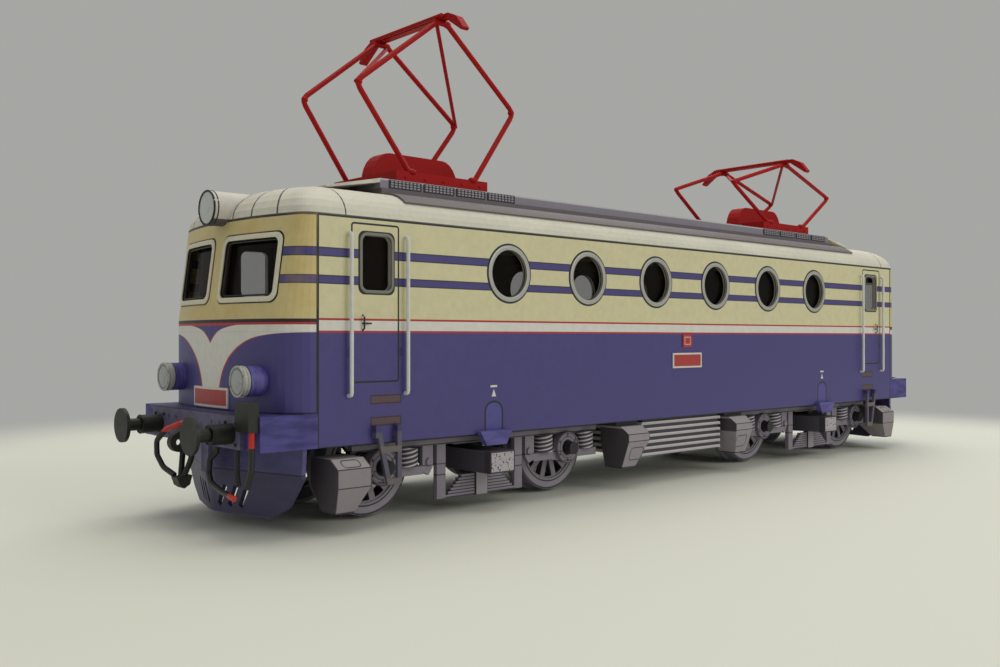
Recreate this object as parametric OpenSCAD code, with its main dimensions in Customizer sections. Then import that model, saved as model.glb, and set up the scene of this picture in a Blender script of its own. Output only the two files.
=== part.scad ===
// Card model of a four-axle electric locomotive, H0 scale, on two swivelling bogies.
// X runs along the locomotive, Y across it, Z up. Both ends are alike.
// Heights in the sections below are given above the rail head, where the wheel treads run;
// on_rail() then lifts each piece by the flange height, so that z = 0 is under the flanges.

/* [Body shell] */
// Half the length of the straight side walls
side_half_len = 76.2; // [70:0.1:92]
// Half the width over the side walls
body_half_w = 16.9; // [14:0.1:20.5]
// Thickness of the card walls and of the roof
card_t = 0.8; // [0.5:0.05:1]
// Lower edge of the side walls
sill_z = 10.7; // [10.5:0.1:12]
// Crease where the cab fronts start to lean back
waist_z = 27.1; // [25:0.1:28]
// Upper edge of the walls, where the roof starts
cant_z = 40.5; // [40:0.1:49]
// Underside of the floor plate
floor_z = 15.2; // [15:0.1:16]

/* [Cab fronts] */
// How far the front's middle stands ahead of the corner seam, below the crease
front_bulge = 6.3; // [5.5:0.1:8]
// The same at the upper edge
front_bulge_top = 4.5; // [3.5:0.1:5.4]
// Corner radius in plan, below the crease
front_corner_r = 4.77; // [3.5:0.01:5]
// Corner radius in plan at the upper edge
front_corner_r_top = 2.4; // [1.5:0.1:3]
// Lower edge of the cab fronts
front_low_z = 15.1; // [14.5:0.1:15.1]
// Inner edge of a front window, from the middle
front_window_in = 1.9; // [1.5:0.1:3]
// Outer edge of a front window
front_window_out = 13.1; // [11:0.1:13.2]
// Lower edge of the front windows
front_window_low = 30; // [28.5:0.1:31]
// Upper edge of the front windows
front_window_top = 37.6; // [36:0.1:39]
// Corner radius of the front windows
front_window_r = 1; // [0.4:0.1:2]

/* [Side openings] */
// Distance of the first porthole from the middle
porthole_first = 8.65; // [7:0.05:10]
// Distance between portholes
porthole_pitch = 17.25; // [15:0.05:20]
// Portholes on each half of a side
porthole_count = 3; // [1:1:3]
// Height of the porthole centres
porthole_z = 34.25; // [32:0.05:35]
// Radius of the porthole openings
porthole_r = 3.55; // [2.5:0.05:4]
// Distance of a door's window centre from the corner seam
door_window_back = 9.05; // [8.5:0.05:10]
// Width of the door window opening
door_window_w = 4.7; // [3.5:0.1:5]
// Lower edge of the door windows
door_window_low = 31; // [29:0.1:32]
// Upper edge of the door windows
door_window_top = 38.2; // [36:0.1:39]
// Corner radius of the door windows
door_window_r = 1; // [0.4:0.1:1.5]
// Thickness of the clear foil behind the windows
foil_t = 0.25; // [0.15:0.05:0.4]

/* [Roof] */
// Distance in from the wall over which the roof's shoulder rises
shoulder_in = 6.8; // [5:0.1:8]
// Rise of the shoulder
shoulder_rise = 4.4; // [3.5:0.1:5]
// Further rise from the shoulder to the middle
crown_rise = 0.4; // [0.2:0.1:1]
// Distance of the end of the straight roof from the corner seam
roof_end_back = 4.2; // [3:0.1:6]
// Half width of the raised walkway, at its foot
monitor_half_w = 10.1; // [8:0.1:11]
// Inward step of the walkway's upper band
monitor_step = 0.35; // [0.2:0.05:0.6]
// Rise of the walkway's lower band above the roof's crown
monitor_band_rise = 0.7; // [0.5:0.1:1.2]
// Rise of the walkway's top above its lower band
monitor_rise = 1.4; // [1:0.1:2]
// Distance of the walkway's end from the corner seam
monitor_end_back = 14.7; // [12:0.1:20]
// Length of the sloping cowl at each end of the walkway
cowl_len = 9; // [6:0.1:10]
// Thickness of the cowl
cowl_t = 0.6; // [0.4:0.1:0.8]
// Length of one grille
grille_w = 5.8; // [4:0.1:6]
// Distance between grilles
grille_pitch = 6.25; // [6.1:0.05:8]
// Grilles on each quarter of the walkway
grille_count = 4; // [1:1:5]
// How far a grille stands out
grille_t = 0.15; // [0.1:0.05:0.3]

/* [Underframe] */
// Length of the box under each cab front
end_box_len = 8.1; // [7:0.1:9]
// Thickness of the buffer beam
beam_t = 0.6; // [0.4:0.1:1]
// Half the width of the buffer beam
beam_half_w = 12.9; // [12:0.1:16]
// Distance of the buffers from the middle
buffer_y = 10.5; // [8.5:0.1:11.5]
// Height of the buffers
buffer_z = 12.7; // [12.2:0.1:13.2]
// Radius of a buffer head
buffer_head_r = 2.35; // [2:0.05:3]
// Thickness of a buffer head
buffer_head_t = 0.5; // [0.3:0.1:1]
// Radius of a buffer housing
buffer_case_r = 1.3; // [1:0.05:1.6]
// Length of a buffer housing
buffer_case_len = 2.9; // [2:0.1:3.5]
// Radius of a buffer plunger
buffer_rod_r = 0.85; // [0.5:0.05:1]
// Length of a buffer plunger, as far as it shows
buffer_rod_len = 2.2; // [1.5:0.1:3]
// Half the width of the snow plough
plough_half_w = 16.2; // [13:0.1:16.6]
// Lower edge of the snow plough
plough_low_z = 1.3; // [1:0.1:3]
// Crease of the snow plough
plough_crease_z = 7.3; // [6:0.1:8.5]
// Thickness of the snow plough
plough_t = 0.6; // [0.4:0.1:0.8]
// Half the length of the ribbed box under the middle
centre_box_half_len = 11.3; // [9:0.1:11.8]
// Lower edge of the ribbed box
centre_box_low_z = 4.3; // [3:0.1:6]
// Ribs on each face of the box
rib_count = 6; // [3:1:8]
// Inner end of the equipment boxes, from the middle
side_box_in = 12.6; // [12.4:0.1:13]
// Length of an equipment box
side_box_len = 5.4; // [4:0.1:5.6]
// Half the width over the equipment boxes and sandboxes
box_half_w = 18.7; // [17:0.1:21]

/* [Lamps] */
// Distance of the lower lamps from the middle
low_lamp_y = 10.9; // [9:0.1:11.5]
// Height of the lower lamps
low_lamp_z = 19.2; // [18:0.1:21]
// Radius of a lower lamp's case
low_lamp_r = 1.95; // [1.5:0.05:2.2]
// How far the lower lamps reach ahead of the front's middle
low_lamp_ahead = 1.7; // [1:0.1:2.5]
// Height of the upper lamp above the walls
high_lamp_rise = 1.7; // [1.5:0.1:2.5]
// Radius of the upper lamp's case
high_lamp_r = 2.35; // [2:0.05:2.5]
// How far the upper lamp reaches ahead of the front's middle
high_lamp_ahead = 0.5; // [0.3:0.1:2]
// Width of the bright rim round each lens
lamp_rim_w = 0.25; // [0.15:0.05:0.4]
// Thickness of a lens
lens_t = 0.3; // [0.2:0.05:0.5]

/* [Bogies] */
// Distance of a bogie's pivot from the corner seam
pivot_back = 29.9; // [29:0.1:31]
// Distance between the axles of a bogie
wheelbase = 36.2; // [34:0.1:37]
// Radius of the wheel treads
wheel_r = 7.1; // [6.4:0.05:7.2]
// Height of the wheel flanges
flange_h = 0.5; // [0.3:0.05:0.6]
// Thickness of a flange
flange_t = 0.6; // [0.4:0.05:0.8]
// Outer face of the wheels, from the middle
wheel_face_y = 10.4; // [10:0.1:11]
// Width of a wheel over tread and flange
wheel_w = 3.1; // [2.4:0.1:3.4]
// Width of the wheel rim as seen from the side
wheel_rim_w = 1.7; // [1.2:0.1:2]
// Radius of the wheel hub
hub_r = 1.9; // [1.6:0.05:2.4]
// Thickness of the spokes
spoke_t = 1.2; // [0.8:0.1:1.6]
// Width of a spoke
spoke_w = 0.95; // [0.6:0.05:1.3]
// Spokes in a wheel
spoke_count = 12; // [8:1:14]
// Radius of the axle journals
journal_r = 1; // [0.8:0.05:1.2]
// Running clearance round a journal
journal_gap = 0.06; // [0.02:0.01:0.1]
// Half the length of an axle
axle_half_len = 16; // [15:0.1:16.4]
// Inner face of the side frames
frame_y = 13.3; // [12.8:0.1:13.6]
// Thickness of the side frames
frame_t = 0.8; // [0.5:0.1:1]
// Radius of an axlebox
axlebox_r = 2.6; // [1.8:0.05:2.8]
// Radius of the pivot pin
pivot_r = 1.45; // [1:0.05:2]
// Running clearance round the pivot pin
pivot_gap = 0.05; // [0.02:0.01:0.1]
// Half the width over the bolster ends
bolster_half_w = 18.9; // [17:0.1:21]
// Radius of a coil spring
coil_r = 1.5; // [1:0.05:1.6]
// Distance of a coil spring from its axle
coil_x = 4.7; // [4.6:0.1:5.2]
// Distance of a sandbox's back behind its axle
sandbox_back = 4.8; // [4.4:0.1:5]
// Leaves in a leaf spring
leaf_count = 7; // [4:1:9]

/* [Current collectors] */
// Distance of the front collector's middle from the middle of the locomotive
collector_front_x = 48.7; // [40:0.1:50]
// Distance of the rear collector's middle
collector_rear_x = 46.8; // [40:0.1:50]
// Half the length of a collector's base
base_half_len = 8.85; // [7:0.05:10]
// Half the width of a collector's base
base_half_w = 8; // [6:0.1:9]
// Height of the base strips
base_h = 1.8; // [1:0.1:2.5]
// Thickness of the base strips
base_t = 0.5; // [0.4:0.05:0.8]
// Height of the arched case on the base
case_h = 5.6; // [4:0.1:6]
// Thickness of the arched case
case_t = 3; // [2:0.1:4]
// Radius of the collector's wires
wire_r = 0.42; // [0.3:0.01:0.5]
// Height of the front collector's elbows above the walkway
front_elbow_h = 13.8; // [10:0.1:16]
// Height of the front collector's top above the walkway
front_top_h = 25.1; // [20:0.1:28]
// Height of the rear collector's elbows above the walkway
rear_elbow_h = 9.2; // [7:0.1:12]
// Height of the rear collector's top above the walkway
rear_top_h = 14.6; // [13:0.1:20]
// Half the length of a contact bow
bow_half_len = 13.5; // [11:0.1:15]

/* [Hidden] */

cream = "#cfc6a0";
blue = "#4a4478";
off_white = "#d9d6c6";
lilac_grey = "#8c8790";
grey = "#7e7680";
red = "#b5201e";
black = "#23261e";
brown = "#4a3324";

// Seating gap between pieces that are glued together but are built apart
seat_gap = 0.02;
// Smallest cut that runs past a surface
past = 1;
round_fn = 48;

front_x = side_half_len + front_bulge;
beam_x = side_half_len + end_box_len;
beam_face_x = beam_x + beam_t;
buffer_face_x = beam_face_x + buffer_case_len + buffer_rod_len + buffer_head_t;
inner_half_w = body_half_w - card_t;
roof_half_len = side_half_len - roof_end_back;
crown_z = cant_z + shoulder_rise + crown_rise;
band_z = crown_z + monitor_band_rise;
walkway_z = band_z + monitor_rise;
walkway_half_len = side_half_len - monitor_end_back;
door_x = side_half_len - door_window_back;
pivot_x = side_half_len - pivot_back;
floor_top_z = floor_z + card_t;
low_lens_x = front_x + low_lamp_ahead;
high_lens_x = front_x + high_lamp_ahead;
high_lamp_z = cant_z + high_lamp_rise;
axle_x = wheelbase / 2;
// Half thickness of the brake hoses, and how far they hang ahead of the beam, across and up
hose_r = 0.38;
hose_routes = [
    [[0, -1.4, 13.3], [1.1, -1.4, 13.3], [2.1, -3.8, 12.4], [2.6, -5.6, 10.8], [2.6, -5.5, 8.9],
     [2.3, -4.1, 7.3], [1.7, -2, 6.4]],
    [[-0.3, 6.2, 10.75], [-0.3, 6.2, 10], [0.3, 5.5, 9.2], [0.5, 5.6, 7.3], [0.7, 6.6, 6.2],
     [0.9, 9.6, 5.5], [1.1, 13.6, 5]],
    [[-0.3, 11.6, 10.75], [-0.3, 11.6, 8], [-0.2, 12.2, 6.3]]
];
// Upper edge of the arms beside an axlebox, below the axle's centre
arm_drop = 0.4;
// Height of the side frames' beam
frame_beam_z = 9.4;

// --- Helpers -------------------------------------------------------------------------------

module on_rail() translate([0, 0, flange_h]) children();

module both_ends() {
    children();
    mirror([1, 0, 0]) children();
}

module both_sides() {
    children();
    mirror([0, 1, 0]) children();
}

// A flat outline in X and Z, from y to y + depth
module across(y, depth) translate([0, y + depth, 0]) rotate([90, 0, 0]) linear_extrude(depth) children();

// A flat outline in Y and Z, from x to x + depth
module along(x, depth) translate([x, 0, 0]) rotate([90, 0, 90]) linear_extrude(depth) children();

module rod_x(x, len, r) translate([x, 0, 0]) rotate([0, 90, 0]) cylinder(r = r, h = len, $fn = round_fn);
module rod_y(y, len, r) translate([0, y, 0]) rotate([-90, 0, 0]) cylinder(r = r, h = len, $fn = round_fn);

// Corner points of a rounded rectangle between two corners
function rounded(low, high, r, steps = 5) = [
    for (corner = [[high.x - r, high.y - r, 0], [low.x + r, high.y - r, 90],
                   [low.x + r, low.y + r, 180], [high.x - r, low.y + r, 270]])
        for (i = [0:steps]) let (a = corner[2] + 90 * i / steps)
            [corner.x + r * cos(a), corner.y + r * sin(a)]
];

// Side faces of a skin over rings of n points each
function ring_sides(n, last) = [
    for (i = [0:last - 1]) for (j = [0:n - 1]) let (k = (j + 1) % n)
        [i * n + j, (i + 1) * n + j, (i + 1) * n + k, i * n + k]
];

// A closed skin over rings of equal length, each counter-clockwise seen from the last one
module loft(rings) {
    n = len(rings[0]);
    last = len(rings) - 1;
    polyhedron(
        points = [for (ring = rings) each ring],
        faces = concat(
            [[for (j = [0:n - 1]) j]],
            ring_sides(n, last),
            [[for (j = [n - 1:-1:0]) last * n + j]]),
        convexity = 8);
}

// The same for a thin band: each ring is an outer line, then an inner line of as many points reversed
module band_loft(outer_lines, inner_lines) {
    m = len(outer_lines[0]);
    n = 2 * m;
    last = len(outer_lines) - 1;
    polyhedron(
        points = [for (i = [0:last]) each concat(outer_lines[i], reversed(inner_lines[i]))],
        faces = concat(
            [for (j = [0:m - 2]) [j, j + 1, n - 2 - j, n - 1 - j]],
            ring_sides(n, last),
            [for (j = [0:m - 2])
                [last * n + n - 1 - j, last * n + n - 2 - j, last * n + j + 1, last * n + j]]),
        convexity = 8);
}

function reversed(list) = [for (i = [len(list) - 1:-1:0]) list[i]];
function raised(plan, z) = [for (p = plan) [p.x, p.y, z]];
function unit(v) = v / norm(v);

// Direction of a path at one of its points
function path_dir(path, i) = unit(path[min(i + 1, len(path) - 1)] - path[max(i - 1, 0)]);

// A round wire along a path; side is a direction that the path never follows
module wire(path, r, side = [0, 1, 0], sides = 8) loft([
    for (i = [0:len(path) - 1])
        let (t = path_dir(path, i), n = unit(cross(side, t)), b = cross(t, n))
        [for (j = [0:sides - 1]) let (a = 360 * (j + 0.5) / sides) path[i] + r * (cos(a) * n + sin(a) * b)]
]);

// A path with its inner corners rounded: each corner becomes a short curve of length reach on both sides
function eased(path, reach, steps = 3) = [
    path[0],
    for (i = [1:len(path) - 2])
        let (p = path[i], a = p + reach * unit(path[i - 1] - p), b = p + reach * unit(path[i + 1] - p))
        for (s = [0:steps]) let (u = s / steps) (1 - u) * (1 - u) * a + 2 * u * (1 - u) * p + u * u * b,
    path[len(path) - 1]
];

// --- Cab front outline ---------------------------------------------------------------------

// Radius of the front's long arc, tangent to corners of radius r
function front_arc_r(bulge, r) = (pow(bulge, 2) + pow(body_half_w - r, 2) - r * r) / (2 * (bulge - r));

// Plan of the front from the right seam to the left one, moved inwards by inset
function front_plan(bulge, r, inset, steps = 8, corner_steps = 6) =
    let (
        big_r = front_arc_r(bulge, r),
        cx = side_half_len + bulge - big_r,
        a_end = atan2(body_half_w - r, side_half_len - cx),
        half = concat(
            [for (i = [0:steps]) let (a = a_end * i / steps)
                [cx + (big_r - inset) * cos(a), (big_r - inset) * sin(a)]],
            [for (i = [1:corner_steps]) let (a = a_end + (90 - a_end) * i / corner_steps)
                [side_half_len + (r - inset) * cos(a), body_half_w - r + (r - inset) * sin(a)]])
    )
    concat([for (i = [len(half) - 1:-1:1]) [half[i].x, -half[i].y]], half);

// Share of the front's lean at a height
function lean(z) = max(0, (z - waist_z) / (cant_z - waist_z));
function bulge_at(z) = front_bulge + (front_bulge_top - front_bulge) * lean(z);
function corner_at(z) = front_corner_r + (front_corner_r_top - front_corner_r) * lean(z);
function plan_at(z, inset) = front_plan(bulge_at(z), corner_at(z), inset);

// The front's wall between two insets and over a list of heights
module front_wall(heights, outer, inner) band_loft(
    [for (z = heights) raised(plan_at(z, outer), z)],
    [for (z = heights) raised(plan_at(z, inner), z)]);

// The full block inside the front's outer face
module front_mass(heights, grow = 0) loft([
    for (z = heights) concat(
        raised(plan_at(z, -grow), z),
        [[side_half_len - past, body_half_w, z], [side_half_len - past, -body_half_w, z]])
]);

// --- Roof outline --------------------------------------------------------------------------

// Rise of a quarter-round shoulder, for a share u of its width
function quarter(u) = sqrt(1 - pow(1 - u, 2));
shoulder_y = body_half_w - shoulder_in;

// Height of the roof's outer face at a distance y from the middle
function roof_z(y) = abs(y) >= shoulder_y
    ? cant_z + shoulder_rise * quarter((body_half_w - abs(y)) / shoulder_in)
    : cant_z + shoulder_rise + crown_rise * (1 - pow(y / shoulder_y, 2));

// Section of the roof from the right edge to the left one, with its face lowered by inset
function roof_line(inset) = concat(
    [for (i = [0:7]) let (u = 1 - cos(90 * i / 8), w = body_half_w - inset)
        [-(w - u * (w - shoulder_y)), cant_z + (shoulder_rise - inset) * quarter(u)]],
    [for (i = [-4:4]) let (y = shoulder_y * i / 4) [y, roof_z(y) - inset]],
    [for (i = [7:-1:0]) let (u = 1 - cos(90 * i / 8), w = body_half_w - inset)
        [w - u * (w - shoulder_y), cant_z + (shoulder_rise - inset) * quarter(u)]]
);

// Lower edge of the roof's end, from the right to the left
function end_edge(inset) = concat(
    [[roof_half_len, -(body_half_w - inset)]],
    plan_at(cant_z, inset),
    [[roof_half_len, body_half_w - inset]]);

// Line over the roof's end at share v of the way from its edge to the straight roof
function end_line(v, inset) =
    let (edge = end_edge(inset), last = len(edge) - 1, u = 1 - cos(90 * v))
    [for (j = [0:last])
        let (p = edge[j], top_y = shoulder_y * (2 * j / last - 1))
        [p.x + (roof_half_len - p.x) * u, p.y + (top_y - p.y) * u,
         cant_z + (roof_z(top_y) - inset - cant_z) * quarter(u)]];

module roof_end_shell(outer, inner, steps = 7) band_loft(
    [for (i = [0:steps]) end_line(i / steps, outer)],
    [for (i = [0:steps]) end_line(i / steps, inner)]);

module roof_end_mass(steps = 7) loft([
    for (i = [0:steps]) [for (p = end_line(i / steps, 0)) p + [0, 0, seat_gap]]
]);

// --- Body shell ----------------------------------------------------------------------------

module wall_panel() difference() {
    translate([-side_half_len, inner_half_w, sill_z])
        cube([2 * side_half_len, card_t, cant_z - sill_z]);
    both_ends() for (i = [0:porthole_count - 1])
        translate([porthole_first + i * porthole_pitch, inner_half_w - past, porthole_z])
            rod_y(0, card_t + 2 * past, porthole_r);
    both_ends() across(inner_half_w - past, card_t + 2 * past)
        polygon(rounded([door_x - door_window_w / 2, door_window_low],
                        [door_x + door_window_w / 2, door_window_top], door_window_r));
}

module side_wall_left() color(cream) on_rail() wall_panel();
module side_wall_right() color(cream) on_rail() mirror([0, 1, 0]) wall_panel();

module front_panel() difference() {
    front_wall([front_low_z, waist_z, cant_z], 0, card_t);
    both_sides() along(side_half_len, front_bulge + past)
        polygon(rounded([front_window_in, front_window_low], [front_window_out, front_window_top],
                        front_window_r));
}

module cab_front_1() color(cream) on_rail() front_panel();
module cab_front_2() color(cream) on_rail() mirror([1, 0, 0]) front_panel();

module roof() color(off_white) on_rail()
    along(-roof_half_len, 2 * roof_half_len)
        polygon(concat(roof_line(0), reversed(roof_line(card_t))));

module roof_end_1() color(off_white) on_rail() roof_end_shell(0, card_t);
module roof_end_2() color(off_white) on_rail() mirror([1, 0, 0]) roof_end_shell(0, card_t);

// The walkway's section: a lower band that follows the roof, and a narrower upper band
module roof_walkway() {
    top_half_w = monitor_half_w - monitor_step;
    color(lilac_grey) on_rail() along(-walkway_half_len, 2 * walkway_half_len) difference() {
        polygon([[-monitor_half_w, cant_z], [monitor_half_w, cant_z], [monitor_half_w, band_z],
                 [top_half_w, band_z], [top_half_w, walkway_z], [-top_half_w, walkway_z],
                 [-top_half_w, band_z], [-monitor_half_w, band_z]]);
        polygon(concat(roof_line(-seat_gap), [[body_half_w, cant_z - past], [-body_half_w, cant_z - past]]));
    }
}

module cowl() {
    toe_x = walkway_half_len + cowl_len;
    toe_z = crown_z + seat_gap;
    across(-(monitor_half_w - monitor_step), 2 * (monitor_half_w - monitor_step))
        polygon([[walkway_half_len, walkway_z], [walkway_half_len, walkway_z - cowl_t],
                 [toe_x - cowl_t, toe_z], [toe_x, toe_z], [toe_x, toe_z + cowl_t / 3]]);
}

module walkway_cowls() color(off_white) on_rail() both_ends() cowl();

module walkway_grilles() color(black) on_rail() both_ends() both_sides()
    for (i = [0:grille_count - 1])
        translate([walkway_half_len - 1.5 - grille_w - i * grille_pitch, monitor_half_w - monitor_step,
                   band_z + 0.1])
            cube([grille_w, grille_t, monitor_rise - 0.2]);

module floor_plate() color(brown) on_rail() difference() {
    translate([-side_half_len, -inner_half_w, floor_z])
        cube([2 * side_half_len, 2 * inner_half_w, card_t]);
    both_ends() translate([pivot_x, 0, floor_z - past])
        cylinder(r = pivot_r + pivot_gap, h = card_t + 2 * past, $fn = round_fn);
}

// Rear walls of the two cabs
module bulkheads() {
    bulkhead_x = door_x - door_window_w / 2 - 5;
    color(brown) on_rail() both_ends()
        translate([bulkhead_x - card_t, -inner_half_w, floor_top_z])
            cube([card_t, 2 * inner_half_w, cant_z - floor_top_z]);
}

module window_foil() {
    margin = 0.8;
    foil_y = inner_half_w - foil_t;
    strip_half_len = porthole_first + (porthole_count - 1) * porthole_pitch + porthole_r + margin;
    front_r = front_window_out + margin;
    foil_in = card_t + 2 * seat_gap;
    color("#c8d2d4", 0.4) on_rail() {
        both_sides() translate([-strip_half_len, foil_y, porthole_z - porthole_r - margin])
            cube([2 * strip_half_len, foil_t, 2 * (porthole_r + margin)]);
        both_sides() both_ends()
            translate([door_x - door_window_w / 2 - margin, foil_y, door_window_low - margin])
            cube([door_window_w + 2 * margin, foil_t, door_window_top - door_window_low + 2 * margin]);
        both_ends() intersection() {
            front_wall([front_window_low - margin, front_window_top + margin], foil_in, foil_in + foil_t);
            translate([side_half_len, -front_r, 0]) cube([front_bulge, 2 * front_r, cant_z]);
        }
    }
}

// --- Underframe and ends -------------------------------------------------------------------

module end_box() translate([side_half_len, -body_half_w, sill_z])
    cube([end_box_len, 2 * body_half_w, front_low_z - sill_z]);

module underframe_end_1() color(blue) on_rail() end_box();
module underframe_end_2() color(blue) on_rail() mirror([1, 0, 0]) end_box();

// Buffer beams, each with a hanging bracket beside the coupling
module buffer_beams() {
    bracket_y = 2.4;
    bracket_w = 2;
    bracket_low_z = 7.2;
    beam_low_z = sill_z + 0.1;
    color(grey) on_rail() both_ends() {
        translate([beam_x, -beam_half_w, beam_low_z])
            cube([beam_t, 2 * beam_half_w, front_low_z - beam_low_z]);
        translate([beam_x, bracket_y, bracket_low_z])
            cube([beam_t, bracket_w, beam_low_z - bracket_low_z]);
    }
}

module buffer_pair() both_sides() translate([0, buffer_y, buffer_z]) {
    rod_x(beam_face_x, buffer_case_len, buffer_case_r);
    rod_x(beam_face_x, buffer_case_len + buffer_rod_len, buffer_rod_r);
    rod_x(buffer_face_x - buffer_head_t, buffer_head_t, buffer_head_r);
}

module buffers_1() color(black) on_rail() buffer_pair();
module buffers_2() color(black) on_rail() mirror([1, 0, 0]) buffer_pair();

// Draw hook with its two-armed link hanging down to the screw's end
module draw_gear() {
    hook_t = 1.1;
    hook_r = 1.3;
    eye = [beam_face_x + 2.1, buffer_z - 1.7];
    pin = [beam_face_x + 0.75, buffer_z - 1.6];
    link_y = 1.4;
    block_z = [4.9, 6.6];
    difference() {
        union() {
            across(-hook_t / 2, hook_t)
                polygon([[beam_face_x, buffer_z - 2.2], [beam_face_x + 1.3, buffer_z - 2.2], [eye.x, eye.y],
                         [eye.x + 0.4, eye.y + 1.2], [beam_face_x + 1.6, buffer_z + 0.2],
                         [beam_face_x, buffer_z + 0.4]]);
            translate([eye.x, 0, eye.y]) rod_y(-hook_t / 2, hook_t, hook_r);
        }
        translate([eye.x, 0, eye.y]) rod_y(-hook_t, 2 * hook_t, 0.5);
    }
    translate([pin.x, 0, pin.y]) rod_y(-link_y - 0.3, 2 * link_y + 0.6, 0.4);
    both_sides() wire(eased([[pin.x, link_y, pin.y], [pin.x + 0.1, link_y, 9],
                             [pin.x + 0.8, 0.4, block_z[1] - 0.3]],
                            0.6, 2), 0.38, [1, 0, 0]);
    across(-0.95, 1.9)
        polygon([[pin.x - 0.2, block_z[1]], [pin.x + 1.9, block_z[1] - 0.2], [pin.x + 1.5, block_z[0] + 0.4],
                 [pin.x + 0.9, block_z[0]], [pin.x + 0.1, block_z[0] + 0.5]]);
}

module coupling_1() color(black) on_rail() draw_gear();
module coupling_2() color(black) on_rail() mirror([1, 0, 0]) draw_gear();

// Air hoses of stiff bent wire, each a route from the buffer beam's face or its lower edge
module hose_set() for (route = hose_routes)
    wire(eased([for (p = route) [beam_face_x + p.x, p.y, p.z]], 0.35, 2), hose_r, [1, 0.3, 0]);

module brake_hoses_1() color(black) on_rail() hose_set();
module brake_hoses_2() color(black) on_rail() rotate(180) hose_set();

// Jumper socket at the end box's corner, with its short hanging lead
module jumper_box() {
    box_w = 3.5;
    box_low_z = 13.2;
    lead_y = body_half_w - 0.8;
    translate([beam_x, body_half_w - 0.3 - box_w, box_low_z]) cube([1.4, box_w, 3.6]);
    translate([beam_x + 0.7, 0, 0])
        wire(eased([[0, lead_y, box_low_z + 0.2], [0, lead_y, 8.6], [0.2, lead_y - 0.9, 6.3]], 0.8, 2),
             hose_r, [1, 0, 0]);
}

module jumper_boxes() color(black) on_rail() {
    jumper_box();
    rotate(180) jumper_box();
}

// Plan of the plough's outer face from one side to the other, its nose ahead by front
function plough_plan(front, inset) =
    let (sweep = 0.3, nose = 1.2, tip = front - inset)
    [for (y = [-plough_half_w, -nose * 2, -nose, 0, nose, nose * 2, plough_half_w])
        [tip - sweep * (abs(y) < nose * 2 ? y * y / nose / 4 + nose : abs(y)), y]];

module plough() intersection() {
    crease_x = beam_x - 1.3;
    levels = [[plough_low_z, crease_x - 0.8], [plough_crease_z, crease_x], [sill_z, crease_x - 0.2]];
    corner = plough_half_w - 6;
    difference() {
        band_loft([for (level = levels) raised(plough_plan(level[1], 0), level[0])],
                  [for (level = levels) raised(plough_plan(level[1], plough_t), level[0])]);
        // Three slanting slots on each side of the nose
        both_sides() for (y = [2.1, 4, 5.9]) along(side_half_len - past, end_box_len)
            polygon([[y + 0.55, 5.3], [y + 1.2, 4.9], [y - 0.4, 2.2], [y - 1, 2.6]]);
    }
    // The lower outer corners are cut off
    along(side_half_len - 2 * past, end_box_len + past) polygon([
        [-corner, plough_low_z], [corner, plough_low_z], [corner + 3, plough_low_z + 1.6],
        [corner + 4.4, plough_low_z + 3.4], [plough_half_w, plough_low_z + 5.6], [plough_half_w, sill_z],
        [-plough_half_w, sill_z], [-plough_half_w, plough_low_z + 5.6], [-corner - 4.4, plough_low_z + 3.4],
        [-corner - 3, plough_low_z + 1.6]]);
}

module snow_plough_1() color(blue) on_rail() plough();
module snow_plough_2() color(blue) on_rail() mirror([1, 0, 0]) plough();

// --- Lamps ---------------------------------------------------------------------------------

module lens_seat(x, r) translate([x - lens_t, 0, 0]) rod_x(0, lens_t + past, r - lamp_rim_w + seat_gap);

module lower_lamps() color(blue) on_rail() both_ends() both_sides() difference() {
    translate([0, low_lamp_y, low_lamp_z]) difference() {
        rod_x(side_half_len + 2, low_lens_x - side_half_len - 2, low_lamp_r);
        lens_seat(low_lens_x, low_lamp_r);
    }
    front_mass([front_low_z, waist_z - past], seat_gap);
}

module upper_lamps() color(off_white) on_rail() both_ends() difference() {
    translate([0, 0, high_lamp_z]) difference() {
        rod_x(side_half_len, high_lens_x - side_half_len, high_lamp_r);
        lens_seat(high_lens_x, high_lamp_r);
    }
    roof_end_mass();
    front_mass([waist_z, cant_z + seat_gap], seat_gap);
}

module lamp_lenses() color("#d8dadb") on_rail() both_ends() {
    both_sides() translate([low_lens_x - lens_t, low_lamp_y, low_lamp_z])
        rod_x(0, lens_t, low_lamp_r - lamp_rim_w);
    translate([high_lens_x - lens_t, 0, high_lamp_z]) rod_x(0, lens_t, high_lamp_r - lamp_rim_w);
}

// --- Side fittings -------------------------------------------------------------------------

// A step ladder under each door: one upright is plumb, the other slants in
module door_steps() {
    plumb_x = door_x - 3.4;
    top_w = 4.2;
    low_w = 2.3;
    low_z = 5.2;
    top_z = 13.1;
    bar_h = 0.8;
    rail_w = 0.7;
    stand_off = 1;
    strip_t = 0.5;
    color(grey) on_rail() both_sides() both_ends() {
        across(body_half_w + stand_off - strip_t, strip_t) {
            translate([plumb_x, low_z]) square([rail_w, top_z - low_z]);
            polygon([[plumb_x + low_w - rail_w, low_z], [plumb_x + low_w, low_z],
                     [plumb_x + top_w, top_z], [plumb_x + top_w - rail_w, top_z]]);
            for (bar_z = [low_z, 9.5])
                translate([plumb_x, bar_z])
                    square([low_w + (top_w - low_w) * (bar_z - low_z) / (top_z - low_z), bar_h]);
        }
        for (x = [plumb_x, plumb_x + top_w - rail_w])
            translate([x, body_half_w, top_z - 1.6]) cube([rail_w, stand_off, 1.6]);
    }
}

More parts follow.
